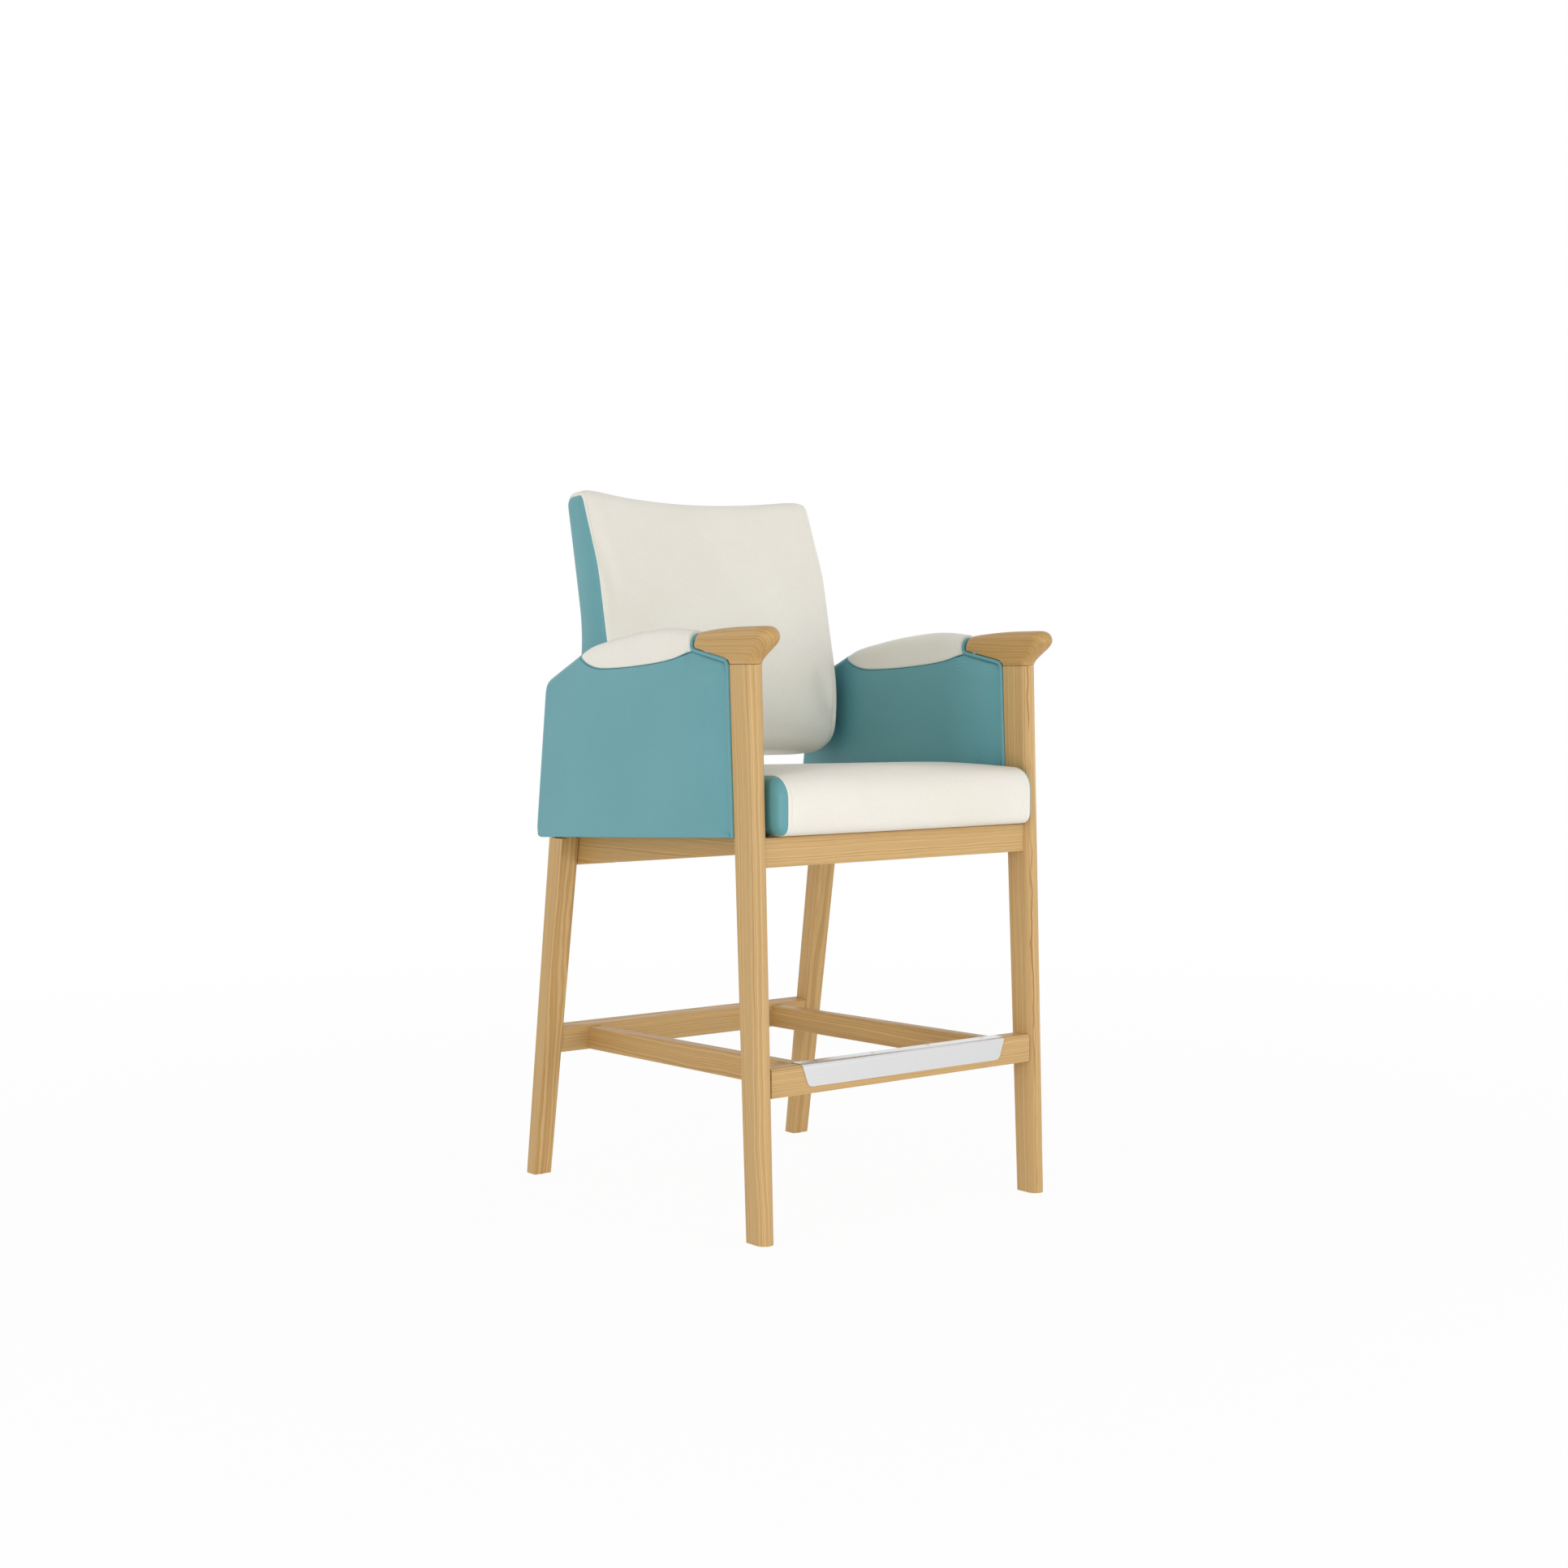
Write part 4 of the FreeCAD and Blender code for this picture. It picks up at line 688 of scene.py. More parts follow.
def metal(name, light, dark, rough, lines):
    """Satin metal with a fine drawn finish along X."""
    shader = Shader(name)
    drawn = shader.noise(shader.moved(shader.place, scale=(1.0, lines, lines)), 1.0, 2.0, 0.6)
    shader.set(Base_Color=shader.ramp(drawn, (0.3, dark), (0.7, light)))
    shader.set(Metallic=1.0, Roughness=shader.ramp(drawn, (0.3, rough), (0.7, rough + 0.05)))
    shader.set(Normal=shader.bump(drawn, 0.006, 0.0001))
    return shader.material


def plain_grain(name, light, dark, rough, scale, strength=0.08):
    """Board, thread or plastic: two tones of one noise, with a little relief."""
    shader = Shader(name)
    grain = shader.noise(shader.moved(shader.place, scale=scale), 1.0, 3.0, 0.6)
    shader.set(Base_Color=shader.ramp(grain, (0.35, dark), (0.65, light)), Roughness=rough)
    shader.set(Normal=shader.bump(grain, strength, 0.0005))
    return shader.material


WHITE = vinyl("white_vinyl", srgb(240, 236, 226), srgb(236, 231, 219))
TEAL = vinyl("teal_vinyl", srgb(103, 165, 172), srgb(99, 161, 168))
STEEL = metal("stainless_steel", srgb(221, 221, 222), srgb(218, 218, 219), 0.24, 1600.0)
ZINC = metal("zinc_steel", srgb(178, 178, 182), srgb(164, 164, 168), 0.34, 900.0)
NYLON = plain_grain("nylon", srgb(70, 66, 62), srgb(52, 50, 48), 0.6, (400.0, 400.0, 400.0))
PLYWOOD = plain_grain("plywood", srgb(204, 172, 128), srgb(180, 146, 102), 0.6, (40.0, 40.0, 700.0))
BLOCK = plain_grain("block_wood", srgb(206, 176, 132), srgb(186, 150, 104), 0.6, (30.0, 300.0, 300.0))
DOWEL = plain_grain("dowel_wood", srgb(204, 172, 128), srgb(184, 150, 106), 0.6, (300.0, 300.0, 300.0))
THREAD = plain_grain("thread", srgb(58, 104, 110), srgb(50, 94, 100), 0.7, (900.0, 900.0, 900.0))

# Which way the grain runs in each wooden piece, where its pith lies, and what else is set for it: the
# darkening of the side seat rails and side stretchers is painted shade, for they lie in shade under the arm
# panels and the seat
FRONT_LEG_RUN = (LEG_TOP_FRONT + LEG_TOP_REAR - LEG_FOOT_FRONT - LEG_FOOT_REAR) / 2
UPRIGHT_FRONT = (math.atan2(FRONT_LEG_RUN, JOINT_Z - LEG_FOOT_Z), 0, 0)
UPRIGHT_REAR = (math.atan2(REAR_LEG_RUN, REAR_LEG_RISE), 0, 0)
ACROSS = (0, -QUARTER, 0)
ENDWAYS = (QUARTER, 0, 0)
WOOD = {
    "front_leg_left": dict(rotation=UPRIGHT_FRONT, pith=(0.27, 0.36, 0)),
    "front_leg_right": dict(rotation=UPRIGHT_FRONT, pith=(-0.34, 0.40, 0), streak=0.2965),
    "rear_leg_left": dict(rotation=UPRIGHT_REAR, pith=(0.25, -0.18, 0), dark=0.95),
    "rear_leg_right": dict(rotation=UPRIGHT_REAR, pith=(-0.26, -0.21, 0), dark=0.95),
    "front_seat_rail": dict(rotation=ACROSS, pith=(-0.58, 0.25, 0)),
    "rear_seat_rail": dict(rotation=ACROSS, pith=(-0.54, -0.2, 0)),
    "front_stretcher": dict(rotation=ACROSS, pith=(-0.2, 0.27, 0)),
    "rear_stretcher": dict(rotation=ACROSS, pith=(-0.2, -0.24, 0)),
    # Painted shade: these rails and stretchers are darkened for the shadow they lie in
    "side_seat_rail_left": dict(rotation=ENDWAYS, pith=(0.24, 0.56, 0), dark=0.86),
    "side_seat_rail_right": dict(rotation=ENDWAYS, pith=(-0.36, 0.58, 0), dark=0.86),
    "side_stretcher_left": dict(rotation=ENDWAYS, pith=(0.17, 0.2, 0), dark=0.9),
    "side_stretcher_right": dict(rotation=ENDWAYS, pith=(-0.26, 0.19, 0), dark=0.9),
}
# The caps are darkened, the right one more: that extra darkening is painted shade, as its seen side faces
# the shaded inside of the chair
CAP_WOOD = {
    "left": dict(rotation=ENDWAYS, pith=(0.42, 0.86, 0), rings=330.0, dark=0.90, figure=0.24),
    "right": dict(rotation=ENDWAYS, pith=(-0.20, 0.86, 0), rings=330.0, dark=0.86, figure=0.24),
}


def paint(name, material):
    """Give a solid of the frame one material."""
    data = nodes[name].data
    data.materials.clear()
    data.materials.append(material)


def paint_nodes():
    for name, wood in WOOD.items():
        paint(name, ash(f"ash_{name}", **wood))
    for name in nodes:
        if "dowels" in name:
            paint(name, DOWEL)
        elif "block_" in name and "screws" not in name:
            paint(name, BLOCK)
        elif "board_" in name or name in ("seat_board", "back_board"):
            paint(name, PLYWOOD)
        elif "screws" in name or name in ("back_bolts", "back_spacers"):
            paint(name, ZINC)
    paint("glides", NYLON)
    paint("footrest_plate", STEEL)


# Seat and back cushions


def seat_section(x):
    """Side view of the seat at a place across it: corners with their rounding."""
    swell = 1.0 - (x / SEAT_HALF) ** 2
    front = SEAT_FRONT + SEAT_FRONT_BULGE * (1.0 - swell)
    top = SEAT_HIGH - SEAT_CROWN + SEAT_CROWN * swell
    return [
        (front, SEAT_LOW, SEAT_FOOT_ROUND), (SEAT_REAR, SEAT_LOW, SEAT_REAR_ROUND),
        (SEAT_REAR, top - SEAT_DROP, SEAT_REAR_ROUND), (front, top, SEAT_NOSE_ROUND),
    ]


def corner_lift(x, corner):
    """How far an edge of the back has turned in, this near to its side seam."""
    run, rise = corner
    past = min(max((abs(x) - BACK_HALF + run) / run, 0.0), 1.0)
    return rise * (1.0 - math.sqrt(1.0 - past ** 2))


def back_section(x):
    """Side view of the back at a place across it: corners with their rounding."""
    swell = 1.0 - (x / BACK_HALF) ** 2
    low = BACK_LOW + corner_lift(x, BACK_LOW_CORNER)
    top = BACK_LOW + BACK_HEIGHT - BACK_DIP * swell - corner_lift(x, BACK_TOP_CORNER)
    rear = BACK_REAR + BACK_CONCAVE * swell
    leaned = (BACK_SHOULDER - BACK_WAIST) / (BACK_HEIGHT - BACK_WAIST)
    return [
        (rear - BACK_THICK_FOOT, low + BACK_FOOT_RISE, BACK_FOOT_ROUND),
        (rear + BACK_FOOT_OUT, low, BACK_HEM_ROUND),
        (rear, BACK_LOW + BACK_WAIST, BACK_BEND_ROUND),
        (rear + BACK_LEAN, top - BACK_TOP_SLOPE, BACK_TOP_ROUND),
        (rear + BACK_LEAN - BACK_THICK_TOP, top, BACK_TOP_ROUND),
        (rear + BACK_LEAN * leaned - BACK_THICK_SHOULDER, BACK_LOW + BACK_SHOULDER, BACK_BEND_ROUND),
        (rear - BACK_THICK_LUMBAR, BACK_LOW + BACK_LUMBAR, BACK_BEND_ROUND),
    ]


def cushion(section, half, splits, counts, stations, bulge, rounding):
    """A boxed cushion: a band over the stations, closed by a filled panel at each end."""
    made = Builder()
    rings = []
    for x in stations:
        loop = sides_to_loop(rounded_sides(section(x), splits, counts))
        rings.append(made.add(np.column_stack([np.full(len(loop), x), loop])))
    rings = np.array(rings)
    made.grid(rings, 0, flip=True, wrap=True)
    across, upward = counts[0], counts[1]
    for kind, (ring, sign) in enumerate(((rings[0], -1.0), (rings[-1], 1.0)), start=1):
        sides = rounded_sides(section(sign * half), splits, counts)
        loop = sides_to_loop(sides)
        grid = coons(sides, shares(sides[0]), shares(sides[1]))
        depth = np.clip(distance_to(grid, np.vstack([loop, loop[:1]])) / rounding, 0.0, 1.0)
        x = sign * (half + bulge * np.sqrt(np.maximum(1.0 - (1.0 - depth) ** 2, 0.0)))
        points = np.dstack([x, grid])
        index = np.zeros(grid.shape[:2], int)
        index[1:-1, 1:-1] = made.add(points[1:-1, 1:-1]).reshape(across - 1, upward - 1)
        index[:, 0] = ring[:across + 1]
        index[-1, :] = ring[across:across + upward + 1]
        index[:, -1] = ring[across + upward:2 * across + upward + 1][::-1]
        index[0, :] = np.append(ring[2 * across + upward:], ring[0])[::-1]
        made.grid(index, kind, flip=sign < 0)
    return np.array(made.points), made.faces, made.kinds, rings


def soft_cushion(pieces, section, half, splits, counts, bulge, rounding, pressure, most, rest):
    """Blow up a coarse cushion, then carry its swell over to a finer one with seams."""
    coarse = np.linspace(-half, half, 2 * round(half / RING_STEP) + 1)
    points, faces, kinds, rings = cushion(section, half, splits, counts, coarse, bulge, rounding)
    pinned = points[:, 2] < rest
    pinned[rings[0]] = True
    pinned[rings[-1]] = True
    swell = inflate(points, faces, pinned, pressure, most)
    seam = np.array(SEAM_RINGS)
    inner = half - seam[-1] - RING_STEP
    middle = np.linspace(-inner, inner, 2 * round(inner / RING_STEP) + 1)
    stations = np.concatenate([-half + seam, middle, (half - seam)[::-1]])
    fine, faces, kinds, fine_rings = cushion(section, half, splits, counts, stations, bulge, rounding)
    for axis in range(3):
        field = swell[rings][..., axis]
        for column in range(field.shape[1]):
            fine[fine_rings[:, column], axis] += np.interp(stations, coarse, field[:, column])
    fine[fine_rings.size:] += swell[rings.size:]
    normals = vertex_normals(fine, faces)
    for rank, depth in SEAM_DEPTHS.items():
        for ring in (fine_rings[rank], fine_rings[-1 - rank]):
            fine[ring] -= normals[ring] * depth
    for kind, (name, material, replaced, slot) in enumerate(pieces):
        obj = make_object(name, *part_of(fine, faces, kinds, kind), material)
        finish_piece(obj, replaced)


def build_cushions():
    soft_cushion(
        [
            ("seat_top", WHITE, ("seat_cover", "seat_foam"), "vinyl_white"),
            ("seat_side_left", TEAL, ("seat_side_cover_left",), "vinyl_teal"),
            ("seat_side_right", TEAL, ("seat_side_cover_right",), "vinyl_teal"),
        ],
        seat_section, SEAT_HALF, SEAT_SPLITS, SEAT_COUNTS, SEAT_SIDE_BULGE, SEAT_SIDE_ROUND,
        pressure=3.0, most=0.005, rest=SEAT_LOW + SEAT_HELD,
    )
    soft_cushion(
        [
            ("back_front", WHITE, ("back_cover", "back_foam"), "vinyl_white"),
            ("back_side_left", TEAL, ("back_side_cover_left",), "vinyl_teal"),
            ("back_side_right", TEAL, ("back_side_cover_right",), "vinyl_teal"),
        ],
        back_section, BACK_HALF, BACK_SPLITS, BACK_COUNTS, BACK_SIDE_BULGE, BACK_SIDE_ROUND,
        pressure=2.0, most=0.003, rest=0.0,
    )


# Arms: a padded panel with a white pad let into its top, a welt along its front and a wooden cap


def leg_rear(z):
    """Rear face of a front leg at a height."""
    share = (z - LEG_FOOT_Z) / (JOINT_Z - LEG_FOOT_Z)
    return LEG_FOOT_REAR + (LEG_TOP_REAR - LEG_FOOT_REAR) * share


def pad_curves():
    """The pad's seam and crown in side view, from its heel behind the cap to the tip of its tail."""
    seam = [(PAD_FRONT, PAD_HEEL_Z)]
    crown = [(PAD_FRONT, JOINT_Z + PAD_HEIGHT * PAD_HEEL_CROWN)]
    for share, low, top in PAD_STATIONS:
        y = PAD_FRONT + PAD_LENGTH * share
        seam.append((y, JOINT_Z + PAD_HEIGHT * low))
        crown.append((y, JOINT_Z + PAD_HEIGHT * top))
    seam.append(PAD_TURN)
    crown.append(PAD_TIP)
    return smooth_line(seam), smooth_line(crown)[::-1]


def arm_sides():
    """The four sides of the panel and of the pad in side view, each head to tail."""
    seam, crown = pad_curves()
    heel = np.array((PAD_FRONT, PAD_HEEL_Z))
    tip = np.array(PAD_TIP)
    bend_z = JOINT_Z + PANEL_BEND_RISE
    bend = np.array((leg_rear(bend_z) + WELT_GAP, bend_z))
    front_low = np.array((leg_rear(PANEL_LOW_FRONT) + WELT_GAP, PANEL_LOW_FRONT))
    rear_low = np.array((PANEL_REAR_LOW, PANEL_LOW_REAR))
    rear_top = np.array((PANEL_REAR_HIGH, PANEL_REAR_TOP))
    foot_arc = corner_arc(front_low, rear_low, rear_top, ROUND_FOOT)
    rear_arc = corner_arc(rear_low, rear_top, tip, ROUND_REAR)
    bend_arc = corner_arc(heel, bend, front_low, ROUND_BEND)
    half = len(foot_arc) // 2
    along = edge_steps(FRONT_COLUMNS, TAIL_COLUMNS, PANEL_ALONG, PANEL_ALONG_STEPS)
    seam = at_shares(seam, along)
    turn = at_shares(smooth_line([PAD_TURN, PAD_BEND, PAD_TIP]), PAD_ROWS)
    top = np.vstack([seam, turn[1:]])
    bottom = at_shares([front_low] + foot_arc[:half + 1], shares(top))
    up = edge_steps(FOOT_ROWS, LIP_ROWS, PANEL_UP, PANEL_UP_STEPS)
    rear = at_shares(foot_arc[half:] + rear_arc + [tip], up)
    front = at_shares([heel] + bend_arc + [front_low], 1.0 - up[::-1])
    crown = at_shares(crown, 1.0 - along[::-1])
    nose = at_shares([crown[-1], heel], 1.0 - PAD_ROWS[::-1])
    return [bottom, rear, top[::-1], front], [seam, turn, crown, nose]


def arm_outline(panel, pad):
    """The arm's whole outline in side view with the roll of the edge at each of its points."""
    points = []
    rolls = []
    for line, low, high in (
        (panel[0], EDGE_BOTTOM, EDGE_BOTTOM), (panel[1], EDGE_REAR, EDGE_REAR),
        (pad[2], EDGE_REAR, EDGE_CROWN), (pad[3], EDGE_HEEL, EDGE_HEEL), (panel[3], EDGE_FRONT, EDGE_FRONT),
    ):
        points.append(line[:-1])
        change = smooth(shares(line) * ROLL_BLEND)[:-1, None]
        rolls.append(np.array(low) + (np.array(high) - np.array(low)) * change)
    points = np.vstack(points)
    rolls = np.vstack(rolls)
    for _ in range(ROLL_PASSES):
        rolls = (np.roll(rolls, 1, axis=0) + 2 * rolls + np.roll(rolls, -1, axis=0)) / 4
    return np.vstack([points, points[:1]]), np.vstack([rolls, rolls[:1]])


def creased(grid, centre, reach, height, lobes):
    """Small creases that run out from a place where covers are drawn together."""
    away = grid - np.array(centre)
    distance = np.linalg.norm(away, axis=-1)
    angle = np.arctan2(away[..., 1], away[..., 0])
    fade = np.exp(-(distance / reach) ** 2) * smooth(distance / (CREASE_START * reach))
    return height * fade * np.cos(lobes * angle)


def face_depth(grid, outline, rolls):
    """Half thickness of the arm over a grid of its side view: rounded towards the outline."""
    reach, roll = distance_to(grid, outline, rolls)
    run, drop = roll[..., 0], roll[..., 1]
    inside = np.clip(reach / run, 0.0, 1.0)
    depth = ARM_HALF - drop * (1.0 - np.sqrt(np.maximum(1.0 - (1.0 - inside) ** 2, 0.0)))
    return depth + FACE_SWELL * smooth((reach - run) / SWELL_RUN)


def arm_shell():
    """One arm as points (depth from its middle, y, z), with faces of the panel (0) and the pad (1).

    The groove that is sewn along the pad's seam comes with it, as places and half thicknesses.
    """
    panel_sides, pad_sides = arm_sides()
    outline, rolls = arm_outline(panel_sides, pad_sides)
    panel = coons(panel_sides, shares(panel_sides[0]), shares(panel_sides[1]))
    pad = coons(pad_sides, shares(pad_sides[0]), PAD_ROWS)
    panel_depth = face_depth(panel, outline, rolls)
    pad_depth = face_depth(pad, outline, rolls)
    for crease in CREASES:
        panel_depth += creased(panel, *crease)
    columns, rows = panel.shape[:2]
    along, upward = pad.shape[:2]
    groove = -1 - GROOVE_ROW
    panel_depth[1:-1, groove + 2:-1] += LIP_RISE
    panel_depth[1:-1, groove] -= GROOVE_DEPTH
    panel_depth[:-1, -1] -= SEAM_DEPTH
    pad_depth[:, 0] = panel_depth[:along, -1]
    pad_depth[-1, :] = panel_depth[along - 1:, -1]
    made = Builder()
    borders = []
    for face in (1.0, -1.0):
        index = made.add(np.dstack([face * panel_depth, panel])).reshape(columns, rows)
        made.grid(index, 0, flip=face < 0)
        own = np.full((along, upward), -1)
        own[:, 0] = index[:along, -1]
        own[-1, :] = index[along - 1:, -1]
        inner = np.dstack([face * pad_depth, pad])[:-1, 1:]
        own[:-1, 1:] = made.add(inner).reshape(along - 1, upward - 1)
        made.grid(own, 1, flip=face < 0)
        bottom_and_rear = np.concatenate([index[:, 0], index[-1, 1:]])
        borders.append((bottom_and_rear, own[::-1, -1], own[0, ::-1], index[0, ::-1]))
    for rank, kind in enumerate((0, 1, 1, 0)):
        made.grid(np.array([borders[0][rank], borders[1][rank]]), kind)
    return made, panel[:along, groove], panel_depth[:along, groove]


def stitches(line, outward):
    """Short lengths of thread laid end to end along a line, bowed into the cover at their ends."""
    total = np.linalg.norm(np.diff(line, axis=0), axis=1).sum()
    shape = np.linspace(0.0, 1.0, STITCH_STEPS + 1)
    bow = STITCH_BOW - 2 * STITCH_BOW * (2 * shape - 1.0) ** 4
    made = Builder()
    for start in np.arange(STITCH_GAP, total - STITCH_LENGTH, STITCH_LENGTH + STITCH_GAP):
        thread = at_shares(line, (start + STITCH_LENGTH * shape) / total)
        tube(made, thread + outward * bow[:, None], THREAD_RADIUS, THREAD_SIDES, outward)
    return made


def welt_rise():
    """Side view of the welt, up the leg's rear edge, under the cap and up behind it."""
    offset = WELT_GAP / 2
    end_z = JOINT_Z + PAD_HEIGHT * PAD_HEEL_CROWN - WELT_DROP - WELT_ARCH
    start = np.array((leg_rear(PANEL_LOW_FRONT) + offset, PANEL_LOW_FRONT))
    low_turn = np.array((leg_rear(JOINT_Z) + offset, JOINT_Z + WELT_LOW_TURN))
    high_turn = np.array((PAD_FRONT - offset, PAD_HEEL_Z + WELT_HIGH_TURN))
    end = np.array((PAD_FRONT - offset, end_z))
    low_arc = corner_arc(start, low_turn, high_turn, WELT_LOW_ROUND)
    high_arc = corner_arc(low_turn, high_turn, end, WELT_HIGH_ROUND)
    return resample(np.vstack([[start], low_arc, high_arc, [end]]), WELT_RISE_STEPS)


def welt_line():
    """Path of the welt: up outside, over behind the cap and down inside."""
    rise = welt_rise()
    end_y, end_z = rise[-1]
    angles = np.linspace(0.0, math.pi, WELT_ARCH_STEPS + 1)[1:-1]
    over = [(LEG_X + WELT_ARCH * math.cos(a), end_y, end_z + WELT_ARCH * math.sin(a)) for a in angles]
    outer = [(LEG_OUTER, y, z) for y, z in rise]
    inner = [(LEG_INNER, y, z) for y, z in rise[::-1]]
    return np.array(outer + over + inner)


def cap_rear(height):
    """Rear end of a cap at a height: its underside lies on the welt."""
    rise = welt_rise()
    way = np.gradient(rise, axis=0)
    way /= np.linalg.norm(way, axis=1, keepdims=True)
    above = rise + np.column_stack([-way[:, 1], way[:, 0]]) * (WELT_RADIUS + CAP_WELT_GAP)
    rest = np.interp(JOINT_Z + CAP_HEIGHT * height, above[:, 1], above[:, 0])
    return max(rest, LEG_TOP_REAR)


def cap_stations():
    """Height and spread as shares, then the inset of each ring of a cap."""
    stations = [(0.0, 0.0, CAP_CHAMFER), (CAP_NECK, 0.0, 0.0)]
    for step in np.linspace(CAP_FLARE_START, 1.0, CAP_FLARE_RINGS):
        stations.append((CAP_BROAD * step, float(smooth(step)), 0.0))
    for angle in np.linspace(0.0, QUARTER, CAP_TOP_RINGS)[1:]:
        height = CAP_BROAD + (1 - CAP_BROAD) * math.sin(angle)
        stations.append((height, 1.0, CAP_TOP_ROUND * (1 - math.cos(angle))))
    stations.append((1.0 + CAP_TOP_RISE, 1.0, CAP_TOP_FLAT))
    return stations


def cap_shell():
    """A carved hand grip: the leg's section at its foot, a long rounded paddle above."""
    made = Builder()
    rings = []
    leg_width = LEG_OUTER - LEG_INNER
    for height, spread, inset in cap_stations():
        half = (leg_width + (CAP_WIDTH - leg_width) * spread) / 2 - inset
        front = LEG_TOP_FRONT - CAP_FRONT * spread + inset
        rear = min(cap_rear(height), LEG_TOP_REAR + CAP_REAR) - inset
        ease = min(height / CAP_BROAD, 1.0)
        end = half * CAP_END_SHARE
        nose = min(LEG_ROUND + (end - LEG_ROUND) * ease, end)
        tail = min(LEG_EASE + (end - LEG_EASE) * ease, end)
        corners = [(-half, front, nose), (half, front, nose), (half, rear, tail), (-half, rear, tail)]
        loop = sides_to_loop(rounded_sides(corners, CAP_SPLITS, CAP_COUNTS))
        back = np.clip((loop[:, 1] - CAP_DROOP_START) / CAP_DROOP_RUN, 0.0, CAP_DROOP_MOST)
        droop = CAP_DROOP * back ** 2 * smooth((height - CAP_DROOP_LOW) / CAP_DROOP_RISE)
        rings.append(made.add(np.column_stack([loop, JOINT_Z + CAP_HEIGHT * height - droop])))
    made.grid(np.array(rings), 0, flip=True, wrap=True)
    made.face(rings[0][::-1])
    made.face(rings[-1])
    return made


def arm_piece(name, made, kind, sign, middle, material):
    """Make a form that was built about its own middle into a piece at a side of the chair."""
    points, faces = part_of(made.points, made.faces, made.kinds, kind)
    points[:, 0] = sign * (middle + points[:, 0])
    if sign < 0:
        faces = [face[::-1] for face in faces]
    return make_object(name, points, faces, material)


def build_arms():
    shell, groove, groove_depth = arm_shell()
    cap = cap_shell()
    welt = Builder()
    tube(welt, welt_line(), WELT_RADIUS, WELT_SIDES, np.array((1.0, 0.0, 0.0)))
    for side, sign in SIDES:
        cap_wood = ash(f"ash_cap_{side}", **CAP_WOOD[side])
        for name, form, kind, middle, material, node, slot, fill in (
            ("arm_panel_cover", shell, 0, ARM_X, TEAL, "arm_panel", "vinyl_teal", FILL),
            ("arm_pad_cover", shell, 1, ARM_X, WHITE, "arm_pad", "vinyl_white", FILL),
            ("arm_welt_cord", welt, 0, 0.0, TEAL, "arm_welt", "vinyl_teal", None),
            ("arm_cap_grip", cap, 0, LEG_X, cap_wood, "arm_cap", "ash_wood", None),
        ):
            obj = arm_piece(f"{name}_{side}", form, kind, sign, middle, material)
            finish_piece(obj, (f"{node}_{side}",))
        for face_name, face in (("outer", 1.0), ("inner", -1.0)):
            outward = np.array((sign * face, 0.0, 0.0))
            line = np.column_stack([sign * (ARM_X + face * groove_depth), groove])
            row = stitches(line, outward)
            name = f"arm_stitches_{side}_{face_name}"
            finish_piece(make_object(name, row.points, row.faces, THREAD, 0), ())


# Camera, floor and lamps


def set_camera():
    data = bpy.data.cameras.new("camera")
    data.lens = LENS_MM
    data.sensor_width = SENSOR_MM
    obj = bpy.data.objects.new("camera", data)
    scene.collection.objects.link(obj)
    obj.location = CAMERA_PLACE
    obj.rotation_euler = (QUARTER - math.radians(CAMERA_DIP), 0.0, math.radians(CAMERA_TURN))
    scene.camera = obj


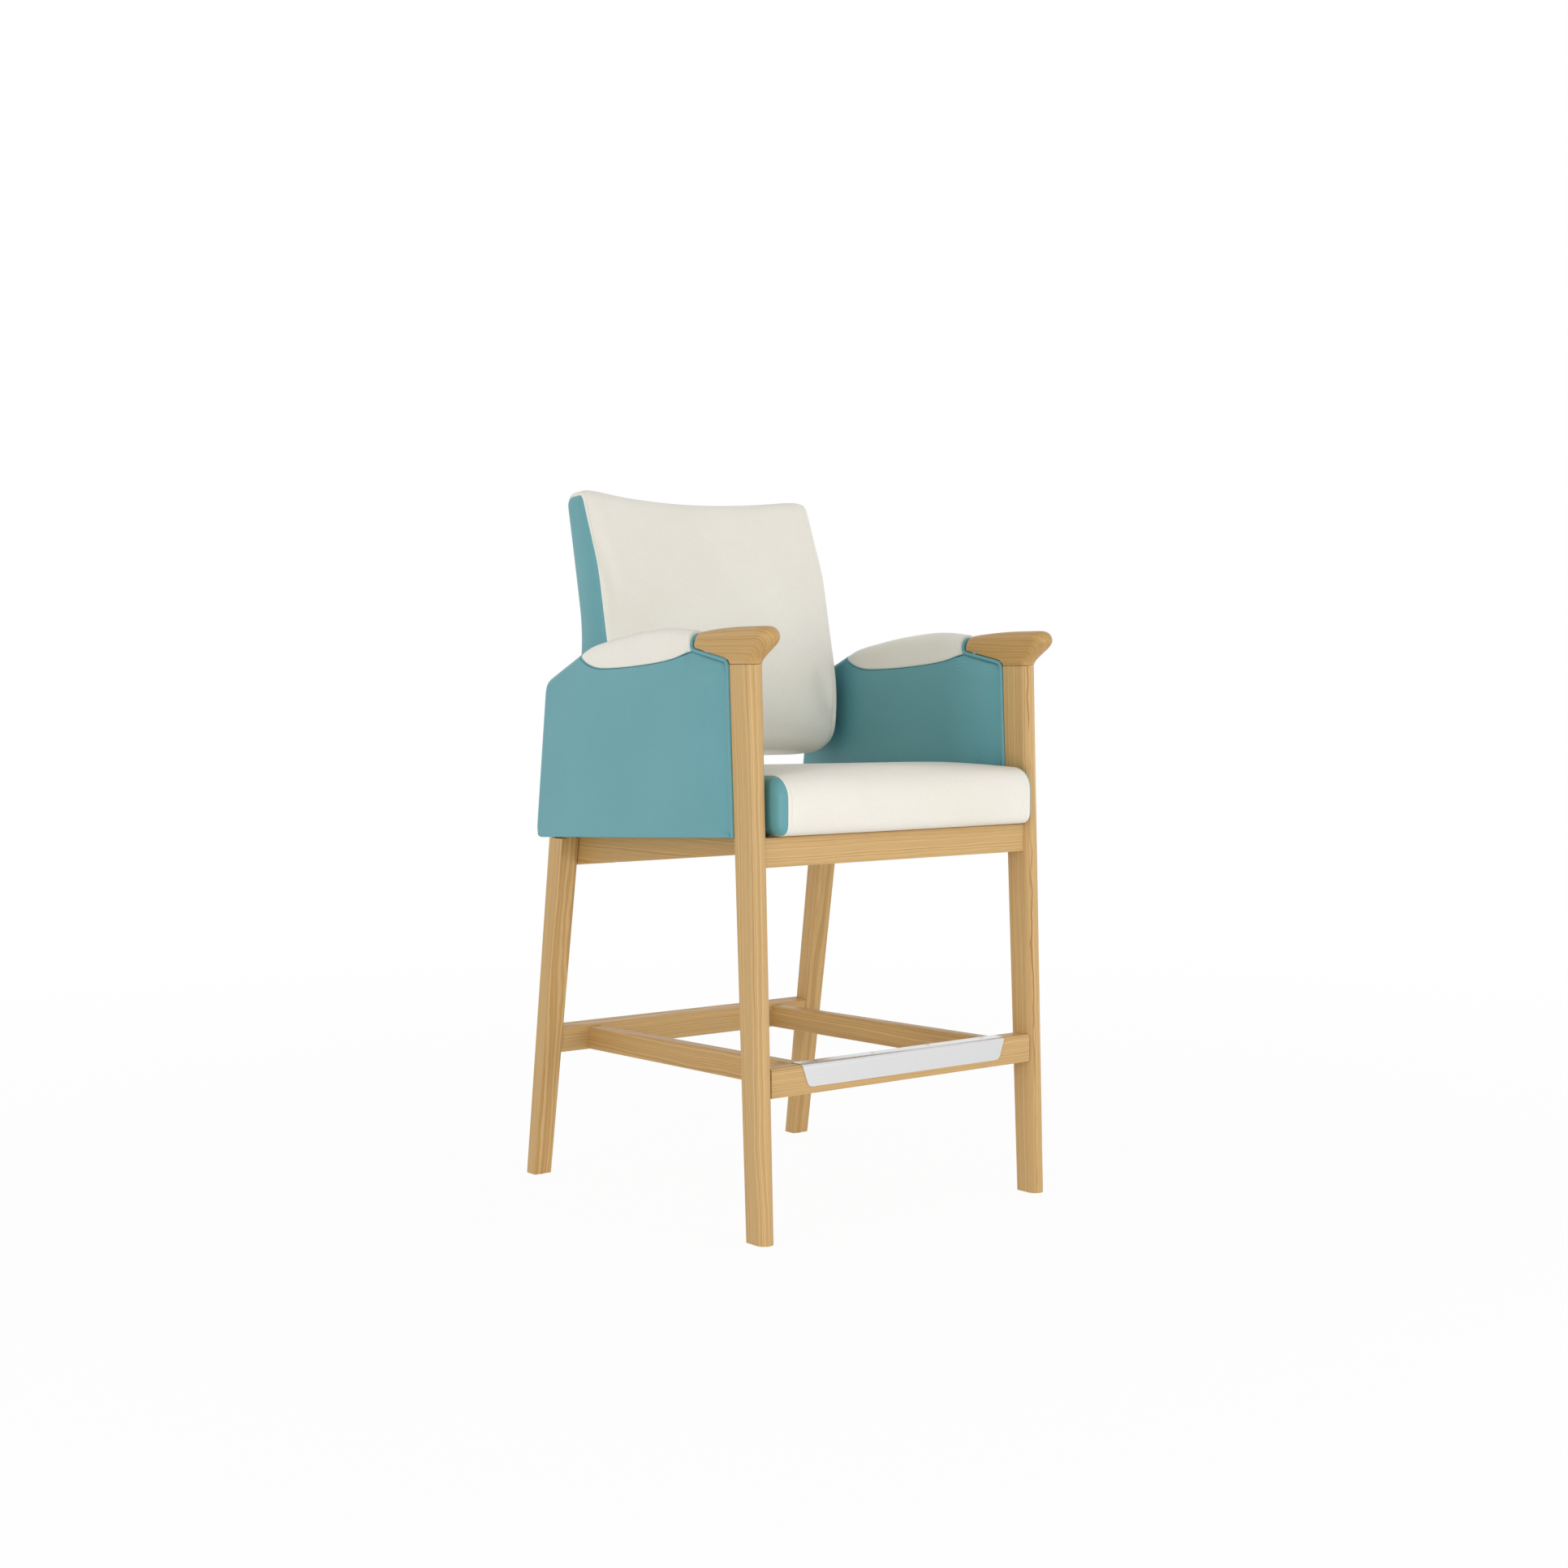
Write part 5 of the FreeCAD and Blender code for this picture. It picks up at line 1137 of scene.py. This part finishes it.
def light_world():
    """A white dome that dims towards its top, pure white where it is seen or mirrored."""
    world = bpy.data.worlds.new("studio")
    scene.world = world
    world.use_nodes = True
    tree = world.node_tree
    background = tree.nodes["Background"]
    background.inputs["Color"].default_value = (1.0, 1.0, 1.0, 1.0)
    path = tree.nodes.new("ShaderNodeLightPath")
    seen = path.outputs["Is Camera Ray"]
    for ray in ("Is Glossy Ray", "Is Transmission Ray"):
        either = tree.nodes.new("ShaderNodeMath")
        either.operation = "MAXIMUM"
        tree.links.new(seen, either.inputs[0])
        tree.links.new(path.outputs[ray], either.inputs[1])
        seen = either.outputs[0]
    parts = tree.nodes.new("ShaderNodeSeparateXYZ")
    tree.links.new(tree.nodes.new("ShaderNodeTexCoord").outputs["Generated"], parts.inputs[0])
    dome = tree.nodes.new("ShaderNodeMapRange")
    dome.inputs["To Min"].default_value = HORIZON_LIGHT
    dome.inputs["To Max"].default_value = ZENITH_LIGHT
    tree.links.new(parts.outputs["Z"], dome.inputs["Value"])
    level = tree.nodes.new("ShaderNodeMapRange")
    level.inputs["To Max"].default_value = 1.0
    tree.links.new(seen, level.inputs["Value"])
    tree.links.new(dome.outputs[0], level.inputs["To Min"])
    tree.links.new(level.outputs[0], background.inputs["Strength"])


def lay_floor():
    """A wide pale floor that is nearly white to the camera and keeps a faint shadow near the chair."""
    mesh = bpy.data.meshes.new("floor")
    corners = [(FLOOR_REACH * x, FLOOR_REACH * y, 0) for x, y in ((-1, -1), (1, -1), (1, 1), (-1, 1))]
    mesh.from_pydata(corners, [], [(0, 1, 2, 3)])
    obj = bpy.data.objects.new("floor", mesh)
    scene.collection.objects.link(obj)
    shader = Shader("floor_paint")
    shader.set(Base_Color=(0.92, 0.92, 0.92, 1.0), Roughness=0.9, Specular_IOR_Level=0.0)
    glow = shader.node("ShaderNodeEmission")
    glow.inputs["Color"].default_value = (1.0, 1.0, 1.0, 1.0)
    path = shader.node("ShaderNodeLightPath")
    seen = shader.math("MAXIMUM", path.outputs["Is Camera Ray"], path.outputs["Is Glossy Ray"])
    seen = shader.math("MAXIMUM", seen, path.outputs["Is Transmission Ray"])
    away = shader.node("ShaderNodeVectorMath", operation="LENGTH")
    shader.link(shader.place, away.inputs[0])
    far = shader.math("DIVIDE", away.outputs["Value"], SHADOW_REACH)
    share = shader.ramp(far, (SHADOW_START, FLOOR_GLOW), (1.0, 1.0))
    blend = shader.node("ShaderNodeMixShader")
    shader.link(shader.math("MULTIPLY", seen, share), blend.inputs[0])
    shader.link(shader.main.outputs[0], blend.inputs[1])
    shader.link(glow.outputs[0], blend.inputs[2])
    shader.link(blend.outputs[0], shader.tree.nodes["Material Output"].inputs["Surface"])
    mesh.materials.append(shader.material)


def hang_lamp(name, place, size, power):
    data = bpy.data.lights.new(name, "AREA")
    data.shape = "DISK"
    data.size = size
    data.energy = power
    obj = bpy.data.objects.new(name, data)
    scene.collection.objects.link(obj)
    obj.location = place
    obj.rotation_euler = (Vector(LAMP_AIM) - Vector(place)).to_track_quat("-Z", "Y").to_euler()


paint_nodes()
build_cushions()
build_arms()
set_camera()
scene.view_settings.view_transform = "Standard"
light_world()
lay_floor()
for lamp_name, lamp in LAMPS.items():
    hang_lamp(lamp_name, *lamp)
